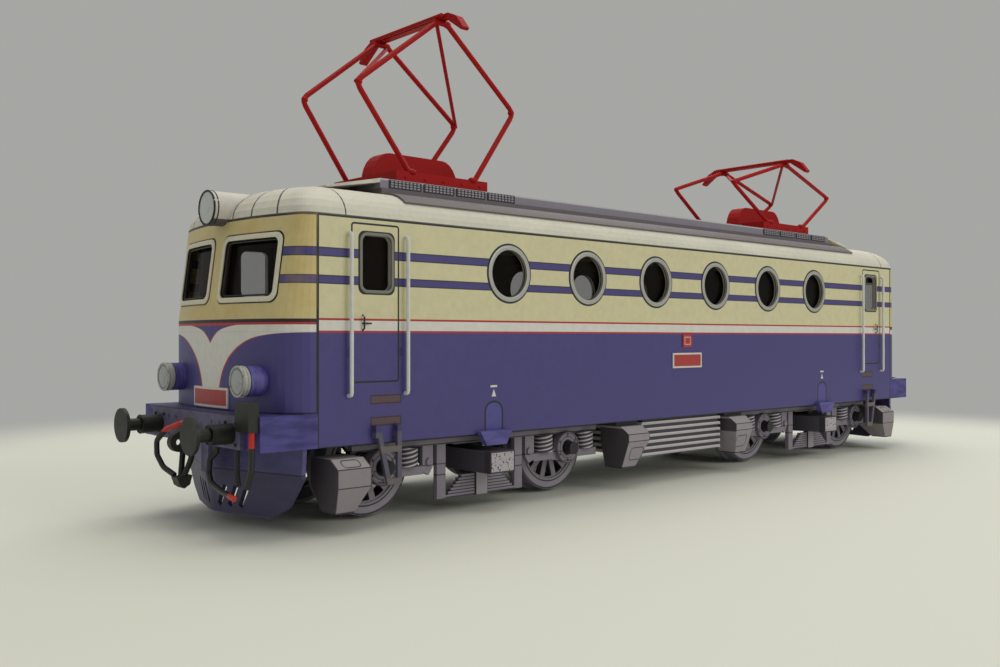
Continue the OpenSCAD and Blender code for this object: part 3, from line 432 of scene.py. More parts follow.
@dataclass(frozen=True)
class FrontPrint(Finish):
    """The same varnished card on the cab fronts, tinted warmer by pencil above the crease."""

    nose_x: float = 82.5
    crease: float = 27.1

    def curve(self, canvas: Canvas, points: Sequence[tuple[float, float]]) -> Field:
        """A half-width that changes with height along a chain of points.

        Args:
            canvas: The finish that takes it.
            points: Heights and half-widths, from the lowest up.

        Returns:
            The half-width at the surface's height.
        """
        low, high = points[0][0], points[-1][0]
        widest = max(width for _, width in points)
        share = (canvas.z - low) / (high - low)
        node = add_node(canvas.tree, "ShaderNodeFloatCurve", {}, {"Value": share})
        line = node.mapping.curves[0]
        while len(line.points) < len(points):
            line.points.new(0.5, 0.5)
        for handle, (height, width) in zip(line.points, points):
            handle.location = ((height - low) / (high - low), width / widest)
            handle.handle_type = "AUTO_CLAMPED"
        node.mapping.update()
        return Field(canvas.tree, node.outputs[0]) * widest

    def draw(self, canvas: Canvas) -> None:
        """Print the swept white band, its notch, the lines along the crease and the window surrounds."""
        ink = LIVERY.ink
        z, ay = canvas.z, canvas.ay
        below = z.under(self.crease)
        canvas.paint(below, LIVERY.blue)
        sweep = self.curve(
            canvas,
            [
                (17.8, 2.3), (19.8, 3.0), (21.6, 4.2), (22.6, 5.3),
                (23.9, 7.5), (24.7, 9.8), (25.2, 13.2), (25.5, 18.0),
            ],
        )
        band = z.over(25.5) * below
        spread = (z - 16.0) * 0.035 + 0.16
        swept = z.between(17.9, 25.5)
        canvas.paint(band, LIVERY.white)
        canvas.paint((ay - sweep).under(spread, 0.12) * swept, LIVERY.red)
        canvas.paint((ay - sweep).under(0.0, 0.12) * swept, LIVERY.white)
        notch = self.curve(canvas, [(24.0, 0.0), (25.0, 1.2), (25.7, 2.5), (26.15, 4.6), (26.6, 9.0)])
        cut = z.between(24.0, 26.6)
        canvas.paint((notch - ay).over(0.0, 0.12) * cut, LIVERY.red)
        canvas.paint((notch - ay).over(0.28, 0.12) * cut * z.under(26.35), LIVERY.blue)
        canvas.paint(z.between(26.4, 26.75), LIVERY.red)
        canvas.paint(z.between(26.7, 27.15), ink)
        stripes = canvas.branch()
        LIVERY.stripes(stripes)
        beyond = canvas.ay.over(13.9, 0.05)
        mixed = add_node(
            canvas.tree,
            "ShaderNodeMix",
            {"data_type": "RGBA"},
            {0: beyond, 6: canvas.colour, 7: stripes.colour},
        )
        canvas.colour = mixed.outputs[2]
        frame_line = oblong(ay, z, (1.05, 13.95, 29.15, 38.45), 1.3)
        canvas.paint(frame_line.under(0.0), ink)
        canvas.paint(z.over(LIVERY.cant - 0.2), ink)
        canvas.paint(canvas.ax.under(LIVERY.seam_x + 0.22), ink)
        canvas.paint(canvas.z.under(15.3), ink)
        warm = canvas.noise(5.0, 2.0)
        canvas.paint(warm.over(0.62, 0.3) * z.over(27.3) * 0.35, "#c8a555")
        canvas.paint(self.behind(canvas), LIVERY.cab_inside)

    def behind(self, canvas: Canvas) -> Field:
        """Mask of the card's inner face, which lies on a slightly smaller arc than the outer one."""
        lean = ((canvas.z - self.crease) / 13.4).math("MAXIMUM", 0.0)
        ahead = canvas.ax + (canvas.y * canvas.y) * 0.0094 + lean * 1.8
        flat = ahead.under(self.nose_x - 0.35, 0.1)
        return flat * canvas.ay.under(13.0)


@dataclass(frozen=True)
class RoofPrint(Finish):
    """Matt printed card for the roof: off-white, with drawn seam lines and grey shading in the folds."""

    fan_x: float = 68.0
    fan_angles: tuple[float, ...] = (7.0, 12.0, 30.0, 47.0)
    shell_end: float = 72.0

    def draw(self, canvas: Canvas) -> None:
        """Draw the fanned seams of the domed ends, the eaves line."""
        ink = "#3d3a40"
        angle = canvas.ay.math("ARCTAN2", canvas.ax - self.fan_x) * (180 / math.pi)
        reach = canvas.ay * canvas.ay + (canvas.ax - self.fan_x) * (canvas.ax - self.fan_x)
        on_dome = canvas.ax.over(self.shell_end) * reach.over(36.0)
        for seam in self.fan_angles:
            off = abs(angle - seam) * reach.math("SQRT") * (math.pi / 180)
            canvas.paint(off.under(0.13, 0.1) * on_dome, ink)
        canvas.paint(canvas.ax.near(self.shell_end, 0.1), ink)
        canvas.paint(canvas.z.under(LIVERY.cant + 0.16), ink)
        # Long grey streaks along the roof: painted shade that stands for the shading in its folds.
        fold_shade = canvas.noise(6.0, 3.0, (0.4, 1, 1))
        canvas.paint(fold_shade.over(0.6, 0.5) * 0.35, "#b7b2a8")


@dataclass(frozen=True)
class WalkwayPrint(Finish):
    """Lilac-grey printed card for the raised walkway, with pale drawn edges and plank lines on top."""

    foot_z: float = 46.0
    top_z: float = 47.4
    half_w: float = 9.75

    def draw(self, canvas: Canvas) -> None:
        """Draw the edge lines, the plank joints and the painted shade along the foot."""
        planks = (canvas.ay / 1.6).math("FRACT")
        on_top = canvas.z.over(self.top_z - 0.06, 0.04)
        canvas.paint(planks.under(0.09, 0.05) * on_top, "#59545f")
        canvas.paint(on_top * canvas.ay.over(self.half_w - 0.3), "#cfccd0")
        canvas.paint(canvas.z.between(self.top_z - 0.22, self.top_z - 0.03), "#c9c6ca")
        # Painted shade: the walkway's sides below the foot height are darkened as if in shadow.
        canvas.paint(canvas.z.under(self.foot_z), "#6f686b")


@dataclass(frozen=True)
class GrillePrint(Finish):
    """Dark printed card with rows of pale cells that stand for air grilles."""

    first_x: float = 57.1
    pitch: float = 6.25
    cell: float = 0.68
    low_z: float = 46.1

    def draw(self, canvas: Canvas) -> None:
        """Print three rows of eight pale cells on each panel."""
        panel_x = canvas.ax.wrapped(self.first_x - 3 * self.pitch, self.pitch, 4)
        column = ((panel_x + 2.72) / self.cell).math("FRACT")
        row = ((canvas.z - self.low_z - 0.1) / 0.36).math("FRACT")
        inside = abs(panel_x).under(2.65) * canvas.z.between(self.low_z + 0.1, self.low_z + 1.18)
        canvas.paint(column.between(0.2, 0.82, 0.12) * row.between(0.2, 0.8, 0.12) * inside, "#a9a6ad")


@dataclass(frozen=True)
class CentreBoxPrint(Finish):
    """Grey printed card with pale ledges and dark hollows along the ribbed box."""

    low_z: float = 4.3
    pitch: float = 1.0667
    half_len: float = 11.3

    def draw(self, canvas: Canvas) -> None:
        """Print each rib pale with a dark line under it."""
        rib = ((canvas.z - self.low_z) / self.pitch).math("FRACT")
        canvas.paint(rib.over(0.5, 0.04), "#4b4652")
        canvas.paint(rib.between(0.40, 0.5, 0.04), "#d9d6d8")
        canvas.paint(rib.between(0.0, 0.08, 0.04), "#38343f")
        canvas.paint(canvas.ax.near(self.half_len, 0.15) * rib.under(0.5), "#d5d2d4")
        canvas.paint(canvas.z.over(10.5, 0.3), "#2c2930")


@dataclass(frozen=True)
class BoxPrint(Finish):
    """Warm grey printed card boxes: lighter lids, dark drawn edges and a small round-ended hatch."""

    inner_x: float = 12.6
    length: float = 5.4
    lid_z: float = 8.7
    break_z: float = 7.5

    def draw(self, canvas: Canvas) -> None:
        """Draw the edges and fold lines, and lighten the lid."""
        along = canvas.ax - self.inner_x
        canvas.paint(canvas.z.over(self.lid_z), "#a39ca0")
        for height in (self.break_z, self.lid_z):
            canvas.paint(canvas.z.near(height, 0.07), "#3f3a42")
        canvas.paint(along.under(0.12) * canvas.z.under(9.6), "#4a454d")
        canvas.paint(along.over(self.length - 0.12) * canvas.z.under(9.6), "#4a454d")
        canvas.paint(canvas.z.under(3.2), "#3c3840")
        hatch = oblong(along, canvas.z, (1.0, 4.2, 4.3, 6.4), 0.6)
        face = canvas.faces(1).over(0.5, 0.2)
        canvas.paint(abs(hatch).under(0.08) * face, "#3f3a42")
        canvas.paint(canvas.z.over(9.9, 0.2), "#37333a")


@dataclass(frozen=True)
class SandboxPrint(Finish):
    """The same warm grey card on the sandboxes, with a hatch drawn on the sloping lid."""

    centre_x: float = 46.3
    inner: float = 22.9
    length: float = 5.2
    lid_z: float = 7.9
    break_z: float = 5.5

    def draw(self, canvas: Canvas) -> None:
        """Draw the edges, the fold lines and the lid's hatch."""
        along = abs(canvas.ax - self.centre_x) - self.inner
        canvas.paint(canvas.z.over(self.lid_z), "#aaa3a5")
        for height in (self.break_z, self.lid_z):
            canvas.paint(canvas.z.near(height, 0.07), "#38343b")
        canvas.paint(along.under(0.13), "#4a454d")
        canvas.paint(along.over(self.length - 0.13), "#4a454d")
        canvas.paint(canvas.z.under(2.4), "#3c3840")
        lid = oblong(along, canvas.ay, (1.3, 4.0, 17.2, 18.4), 0.5)
        canvas.paint(abs(lid).under(0.08) * canvas.z.over(self.lid_z), "#4a454d")


@dataclass(frozen=True)
class FramePrint(Finish):
    """Grey printed bogie card: ringed axlebox covers with dark axle ends, bolt dots and drawn edges."""

    axles: tuple[float, float] = (28.2, 64.4)
    axle_z: float = 7.1
    face_y: float = 14.05

    def draw(self, canvas: Canvas) -> None:
        """Draw the axlebox rings, the beam's lines and the shaded inner faces."""
        canvas.paint(canvas.z.near(9.5, 0.09), "#3d3842")
        canvas.paint(canvas.z.near(10.3, 0.09), "#3d3842")
        canvas.paint(canvas.z.near(5.05, 0.1), "#443f49")
        canvas.paint(canvas.z.near(6.62, 0.08), "#443f49")
        for axle in self.axles:
            across, up = canvas.ax - axle, canvas.z - self.axle_z
            reach = (across * across + up * up).math("SQRT")
            on_box = canvas.ay.over(self.face_y + 0.3, 0.05)
            canvas.paint(reach.near(2.45, 0.14) * on_box, "#35313b")
            canvas.paint(reach.near(1.75, 0.07) * on_box, "#4f4a55")
            turn = (up.math("ARCTAN2", across) * (3 / math.pi)).math("FRACT") - 0.5
            canvas.paint(abs(turn).under(0.09, 0.03) * reach.near(2.1, 0.13) * on_box, "#2c2932")
            canvas.paint(reach.under(1.25) * on_box, "#1f1d24")
        canvas.paint(canvas.ay.under(13.35, 0.05), "#3b3740")


@dataclass(frozen=True)
class BolsterPrint(Finish):
    """Palest card of the underframe, stippled with fine dark dots, with a drawn border."""

    centre_x: float = 46.3

    def draw(self, canvas: Canvas) -> None:
        """Stipple the face, draw its border, and darken the faces inboard of the end face as painted shade.
        """
        specks = canvas.noise(0.32, 0.0)
        canvas.paint(specks.over(0.64, 0.06), "#4f4a55")
        border = oblong(canvas.ax - self.centre_x, canvas.z, (-2.4, 2.4, 5.1, 8.3), 0.1)
        canvas.paint(border.over(-0.22), "#3a3640")
        # Painted shade: the bolster's faces inboard of its end face are darkened.
        canvas.paint(canvas.ay.under(17.6, 0.3), "#504b56")


@dataclass(frozen=True)
class LeafPrint(Finish):
    """Grey card leaves with dark lines between them and a paler buckle in the middle."""

    centre_x: float = 46.3
    low_z: float = 1.6
    high_z: float = 4.7
    leaves: int = 7

    def draw(self, canvas: Canvas) -> None:
        """Print a dark line under each leaf and the buckle's outline."""
        pitch = (self.high_z - self.low_z) / self.leaves
        leaf = ((canvas.z - self.low_z) / pitch).math("FRACT")
        canvas.paint(leaf.under(0.34, 0.08), "#3a3641")
        buckle = oblong(canvas.ax - self.centre_x, canvas.z, (-1.3, 1.3, 1.3, 5.1), 0.15)
        canvas.paint(buckle.under(0.0), "#37333c")
        canvas.paint(buckle.under(-0.22), "#a59ea6")


@dataclass(frozen=True)
class CoilPrint(Finish):
    """Rolled card printed with slanting light and dark turns, which reads as a coil spring."""

    turn_pitch: float = 0.62

    def draw(self, canvas: Canvas) -> None:
        """Print the turns as slanting lines round each spring."""
        slope = canvas.x * 0.22
        turn = ((canvas.z + slope) / self.turn_pitch).math("FRACT") - 0.5
        canvas.paint(abs(turn).over(0.24, 0.1), "#38343f")
        canvas.paint(abs(turn).under(0.09, 0.06), "#d4d0d3")


@dataclass(frozen=True)
class WheelPrint(Finish):
    """Grey printed card wheel with a dark ring inside the rim, on a worn steel-coloured tread."""

    axle_x: float = 64.4
    axle_z: float = 7.1
    rim_inner: float = 5.4
    tread: float = 7.1
    face_y: float = 10.3

    def draw(self, canvas: Canvas) -> None:
        """Draw the rings, the hub line, the painted shade inboard of the outer face, the dark tread and the
        black axle ends.
        """
        across, up = canvas.x - self.axle_x, canvas.z - self.axle_z
        reach = (across * across + up * up).math("SQRT")
        canvas.paint(reach.near(self.rim_inner + 0.42, 0.1), "#302d35")
        canvas.paint(reach.near(self.tread - 0.16, 0.12), "#37333b")
        canvas.paint(reach.between(self.rim_inner + 0.55, self.tread - 0.32), "#9a94a0")
        canvas.paint(reach.near(1.95, 0.12), "#35313a")
        # Painted shade: the wheel's back and sides, inboard of its outer face, are darkened.
        canvas.paint(canvas.ay.under(self.face_y - 0.35, 0.1), "#3a373e")
        canvas.paint(reach.over(self.tread - 0.05), "#77737a")
        canvas.paint(reach.under(1.12), "#1b1a1f")


@dataclass(frozen=True)
class StepPrint(Finish):
    """Painted card steps: blue-grey hangers with worn brown treads."""

    treads: tuple[float, ...] = (5.6, 9.9)

    def draw(self, canvas: Canvas) -> None:
        """Paint the treads and shade the hangers' edges."""
        for height in self.treads:
            canvas.paint(canvas.z.near(height, 0.42), "#6d6466")
        canvas.paint(canvas.z.over(12.2, 0.3), "#413b6c")


@dataclass(frozen=True)
class PlatePrint(Finish):
    """Blank enamel-red plates with a white border, printed on glossy card."""

    def draw(self, canvas: Canvas) -> None:
        """Print the white borders of the front, side and small plates."""
        at_side = canvas.ay.over(16.85)
        side = oblong(canvas.x, canvas.z, (-4.15, 4.15, 19.35, 22.0), 0.05)
        canvas.paint(side.over(-0.3) * side.under(0.05) * at_side, "#dcd6cd")
        small = oblong(canvas.x, canvas.z, (-1.3, 1.3, 23.0, 25.3), 0.05)
        canvas.paint(small.between(-0.6, -0.42) * at_side, "#d9a9a4")
        front = oblong(canvas.y, canvas.z, (-4.9, 4.9, 15.4, 18.1), 0.05)
        canvas.paint(front.over(-0.32) * canvas.ax.over(80.0), "#dcd6cd")


@dataclass(frozen=True)
class LensPrint(Finish):
    """Pale glossy paper discs for the lamp glass, with a fine grey edge and faint vertical fluting."""

    flute_pitch: float = 0.42
    low_y: float = 10.9
    low_z: float = 19.2
    low_lamps_under: float = 30.0

    def draw(self, canvas: Canvas) -> None:
        """Print the flutes and the edge of each lens."""
        flute = (canvas.y / self.flute_pitch).math("FRACT") - 0.5
        canvas.paint(abs(flute).over(0.38, 0.1) * 0.35, "#a3a7a6")
        across, up = canvas.ay - self.low_y, canvas.z - self.low_z
        low = (across * across + up * up).math("SQRT")
        canvas.paint(canvas.z.under(self.low_lamps_under) * 0.55, "#85878d")
        canvas.paint(low.between(1.5, 1.9), "#77797a")


@dataclass(frozen=True)
class LampPaint(Finish):
    """Hand-painted blue lamp case, rolled from card, with brush marks that run round it."""

    worn_x: float = 83.3

    def draw(self, canvas: Canvas) -> None:
        """Vary the blue along the brush marks and leave a paler worn band by the rim."""
        strokes = canvas.noise(1.2, 3.0, (2.5, 0.7, 0.7))
        canvas.paint(strokes.over(0.52, 0.35) * 0.6, "#7d78b4")
        canvas.paint(canvas.ax.over(self.worn_x, 0.1), "#b9b8b2")
        canvas.paint(canvas.ax.near(self.worn_x - 0.02, 0.07), "#26232b")


@dataclass(frozen=True)
class BrushedPaint(Finish):
    """Water colour brushed on card: streaks along the strokes where the coat is thin."""

    second: str = "#6a64a8"
    strokes: tuple[float, float, float] = (0.35, 1.0, 1.6)
    stroke_size: float = 1.5
    strength: float = 0.75

    def draw(self, canvas: Canvas) -> None:
        """Lay the thin streaks over the base coat."""
        streaks = canvas.noise(self.stroke_size, 4.0, self.strokes)
        canvas.paint(streaks.over(0.5, 0.28) * self.strength, self.second)


@dataclass(frozen=True)
class PloughPaint(BrushedPaint):
    """The same brushed coat on the plough, darker below its crease, with pale cut edges."""

    crease_z: float = 7.3

    def draw(self, canvas: Canvas) -> None:
        """Darken the lower face and draw the crease."""
        super().draw(canvas)
        canvas.paint(canvas.z.under(self.crease_z, 0.1) * 0.72, "#35324c")
        canvas.paint(canvas.z.near(self.crease_z, 0.1), "#28253a")
        canvas.paint(canvas.z.under(1.42), "#5b5878")


@dataclass(frozen=True)
class HosePaint(Finish):
    """Black enamelled wire with a satin skin; the coupling ends are dipped in red paint."""

    beam_face: float = 84.9
    root_low: float = 12.1
    tip_high: float = 5.8
    tip_y: tuple[float, float] = (12.2, 14.5)

    def draw(self, canvas: Canvas) -> None:
        """Dip the first hose's root and the second hose's tip in red."""
        ahead = canvas.ax - self.beam_face
        left = canvas.x.math("SIGN") * canvas.y
        root = canvas.z.over(self.root_low, 0.1) * left.under(0.0) * ahead.over(0.2)
        across = left.over(self.tip_y[0], 0.1) * left.under(self.tip_y[1])
        tip = across * canvas.z.under(self.tip_high) * ahead.over(0.75, 0.1)
        canvas.paint(root.math("MAXIMUM", tip), "#c4301c")


@dataclass(frozen=True)
class JumperPaint(Finish):
    """Black painted card box; the first stretch of its lead wears a red sleeve."""

    sleeve: tuple[float, float] = (11.3, 13.18)

    def draw(self, canvas: Canvas) -> None:
        """Paint the sleeve."""
        canvas.paint(canvas.z.between(*self.sleeve), "#c4231c")


@dataclass(frozen=True)
class BeamPaint(BrushedPaint):
    """Blue-grey brushed card beam, darker along its upper edge, with small printed bolts."""

    dark_top_z: float = 15.0
    bolts_y: float = 6.4
    bolts_z: float = 12.7

    def draw(self, canvas: Canvas) -> None:
        """Darken the rim and dot the bolts."""
        super().draw(canvas)
        # The beam is darker above this height.
        canvas.paint(canvas.z.over(self.dark_top_z, 0.1), "#23233a")
        bolt_y = abs(canvas.ay - self.bolts_y) - 1.1
        bolt_z = abs(canvas.z - self.bolts_z) - 1.2
        bolts = (bolt_y * bolt_y + bolt_z * bolt_z).math("SQRT")
        canvas.paint(bolts.under(0.26), "#2c2a3c")


@dataclass(frozen=True)
class WornPaint(Finish):
    """Brushed enamel on wire or plastic: glossy where it pooled, scuffed paler on the high spots."""

    scuff: str = "#c0392f"
    scuff_amount: float = 0.15

    def draw(self, canvas: Canvas) -> None:
        """Scuff the coat in small patches."""
        scuffs = canvas.noise(0.7, 4.0)
        canvas.paint(scuffs.over(0.66, 0.12) * self.scuff_amount, self.scuff)


@dataclass(frozen=True)
class ClearFoil(Finish):
    """Clear polyester foil: faintly grey, mirror-smooth, with the soft waves of a cut sheet."""

    def build(self) -> bpy.types.Material:
        """Build the transparent sheet.

        Returns:
            The material.
        """
        if self.name in Finish.made:
            return Finish.made[self.name]
        canvas = Canvas(self.name, self.base)
        waves = canvas.noise(6.0, 1.0)
        shader = {"Roughness": self.roughness, "IOR": self.ior, "Alpha": 0.22, "Specular IOR Level": 0.4}
        Finish.made[self.name] = canvas.close(shader, waves, 0.05)
        return Finish.made[self.name]


@dataclass(frozen=True)
class StudioSweep(Finish):
    """Pale matt paper laid under the model, whose far edge melts into the wall."""

    fade_from: float = 125.0
    fade_over: float = 75.0

    def build(self) -> bpy.types.Material:
        """Build the paper with its soft edge.

        Returns:
            The material.
        """
        canvas = Canvas(self.name, self.base)
        reach = (canvas.x * canvas.x + canvas.y * canvas.y).math("SQRT")
        share = ((reach - self.fade_from) / self.fade_over).math("MAXIMUM", 0.0).math("MINIMUM", 1.0)
        solid = (share * share * (share * -2.0 + 3.0)).math("MULTIPLY_ADD", -1.0, 1.0)
        return canvas.close({"Roughness": self.roughness, "Alpha": solid}, None, 0.0)


def mesh_piece(
    name: str, points: Sequence[Vector], faces: Sequence[Sequence[int]], finish: Finish, body: str
) -> bpy.types.Object:
    """Make one piece from its points and faces, and fix it to a body.

    Args:
        name: The piece's name.
        points: Points in millimetres, with heights above the rail.
        faces: Corner numbers of each face.
        finish: Its finish.
        body: The body it rides on.

    Returns:
        The new object.
    """
    mesh = bpy.data.meshes.new(name)
    lifted = [((p[0]) * MM, p[1] * MM, (p[2] + RAIL_LIFT) * MM) for p in points]
    mesh.from_pydata(lifted, [], [tuple(face) for face in faces])
    mesh.validate()
    mesh.update()
    mesh.polygons.foreach_set("use_smooth", [True] * len(mesh.polygons))
    mesh.set_sharp_from_angle(angle=math.radians(40))
    piece = bpy.data.objects.new(name, mesh)
    bpy.context.scene.collection.objects.link(piece)
    mesh.materials.append(finish.build())
    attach(piece, body)
    LOG.info("%s: %d faces on %s", name, len(mesh.polygons), body)
    return piece


@dataclass
class Shape:
    """Points and faces gathered for one piece, from several loops or solids."""

    points: list[Vector] = field(default_factory=list)
    faces: list[tuple[int, ...]] = field(default_factory=list)

    def tube(self, rings: Sequence[Sequence[Vector]], closed: bool, capped: bool = False) -> None:
        """Skin a chain of rings of equal length.

        Args:
            rings: The rings in order.
            closed: Whether the last ring joins the first.
            capped: Whether the first and last ring are filled.
        """
        start, count, size = len(self.points), len(rings), len(rings[0])
        for ring in rings:
            self.points.extend(ring)
        for i in range(count if closed else count - 1):
            here, there = start + i * size, start + (i + 1) % count * size
            for j in range(size):
                k = (j + 1) % size
                self.faces.append((here + j, there + j, there + k, here + k))
        if capped:
            self.faces.append(tuple(start + j for j in range(size)))
            self.faces.append(tuple(start + (count - 1) * size + j for j in reversed(range(size))))

    def wire(self, path: Sequence[Vector], radius: float, sides: int = 10, closed: bool = False) -> None:
        """Run a round wire along a path.

        Args:
            path: The wire's middle line.
            radius: Its radius.
            sides: Corners of its section.
            closed: Whether it joins up.
        """
        rings = []
        count = len(path)
        for i, point in enumerate(path):
            ahead = path[(i + 1) % count] if closed else path[min(i + 1, count - 1)]
            back = path[i - 1] if closed or i else path[0]
            along = (ahead - back).normalized()
            side = along.orthogonal() if abs(along.z) > 0.95 else along.cross(Vector((0, 0, 1)))
            side.normalize()
            up = side.cross(along)
            turns = [2 * math.pi * j / sides for j in range(sides)]
            rings.append([point + radius * (math.cos(t) * side + math.sin(t) * up) for t in turns])
        self.tube(rings, closed, capped=not closed)

    def ball(self, centre: Vector, radii: Vector, steps: int = 8) -> None:
        """Add a rounded blob, such as a drop of solder or a bolt's head.

        Args:
            centre: Its middle.
            radii: Its half sizes.
            steps: Rings from pole to pole.
        """
        rings = []
        for i in range(1, steps):
            lift = math.pi * i / steps
            flat = [2 * math.pi * j / (2 * steps) for j in range(2 * steps)]
            rings.append(
                [
                    centre
                    + Vector(
                        (
                            radii.x * math.sin(lift) * math.cos(t),
                            radii.y * math.sin(lift) * math.sin(t),
                            radii.z * math.cos(lift),
                        )
                    )
                    for t in flat
                ]
            )
        self.tube(rings, closed=False, capped=True)

    def piece(self, name: str, finish: Finish, body: str, slot: str) -> bpy.types.Object:
        """Make the gathered shape one piece.

        Args:
            name: The piece's name.
            finish: Its finish.
            body: The body it rides on.
            slot: Not used.

        Returns:
            The new object.
        """
        return mesh_piece(name, self.points, self.faces, finish, body)


def circle(centre: Vector, radius: float, steps: int, axis: int) -> list[Vector]:
    """Points spread evenly round a centre.

    Args:
        centre: The middle.
        radius: The distance of the points from it.
        steps: How many points.
        axis: The axis that they turn round, 0 for X or 1 for Y.

    Returns:
        The points in order.
    """
    points = []
    for i in range(steps):
        turn = 2 * math.pi * i / steps
        flat, up = math.cos(turn), math.sin(turn)
        points.append(centre + radius * Vector((0, flat, up) if axis == 0 else (flat, 0, up)))
    return points


def rounded_outline(
    box: tuple[float, float, float, float], radius: float, steps: int = 6, spans: int = 8
) -> list[tuple[float, float]]:
    """Outline of a rounded rectangle.

    Args:
        box: Low and high edge of the first side, then of the second.
        radius: The corner radius.
        steps: Points in each corner.
        spans: Stretches that each straight side is cut into, so that it can bend with its surface.

    Returns:
        The outline, counter-clockwise.
    """
    corners = ((box[1], box[3], 0), (box[0], box[3], 90), (box[0], box[2], 180), (box[1], box[2], 270))
    signs = ((-1, -1), (1, -1), (1, 1), (-1, 1))
    outline = []
    for (a, b, start), (sign_a, sign_b) in zip(corners, signs):
        for i in range(steps + 1):
            turn = math.radians(start + 90 * i / steps)
            mid_a, mid_b = a + sign_a * radius, b + sign_b * radius
            outline.append((mid_a + radius * math.cos(turn), mid_b + radius * math.sin(turn)))
    full = []
    for i, here in enumerate(outline):
        full.append(here)
        there = outline[(i + 1) % len(outline)]
        if (i + 1) % (steps + 1) == 0:
            shares = [k / spans for k in range(1, spans)]
            full += [tuple(p + (q - p) * share for p, q in zip(here, there)) for share in shares]
    return full


INSIDE = "body"
SILVER_CARD = Finish(
    # Printed card rims rubbed with silver pencil: a soft grey metal sheen with paper's tooth.
    "silver_pencil_on_card",
    "#b4b3ac",
    roughness=0.42,
    mottle=0.18,
    mottle_size=0.5,
    metallic=0.35,
)
PALE_RIM = Finish(
    # Bare cut card with a cream wash: matt, warm, darker where the knife bruised it.
    "cream_washed_card_edge",
    "#ddd8c0",
    roughness=0.6,
    mottle=0.15,
    mottle_size=0.6,
)
GREY_RIM = Finish("grey_inked_card_edge", "#7f7e75", roughness=0.6, mottle=0.15, mottle_size=0.6)
DARK_RUBBER = Finish(
    # Drawn ink line on the inner edge of the window card: nearly black and slightly shiny.
    "inked_card_edge",
    "#26221f",
    roughness=0.5,
)
COLLECTOR_RED = WornPaint(
    "brushed_red_enamel", "#a5110f", roughness=0.5, mottle=0.05, ior=1.25, grain_depth=0.008
)
BLACK_PAINT = WornPaint(
    "black_painted_card", "#15180f", roughness=0.5, scuff="#2f3228", scuff_amount=0.45
)
BROWN_CARD = Finish("plain_brown_card", "#4a3a28", roughness=0.75)
LENS_PAPER = LensPrint("glossy_lens_paper", "#c9cdca", roughness=0.3, coat=0.3)


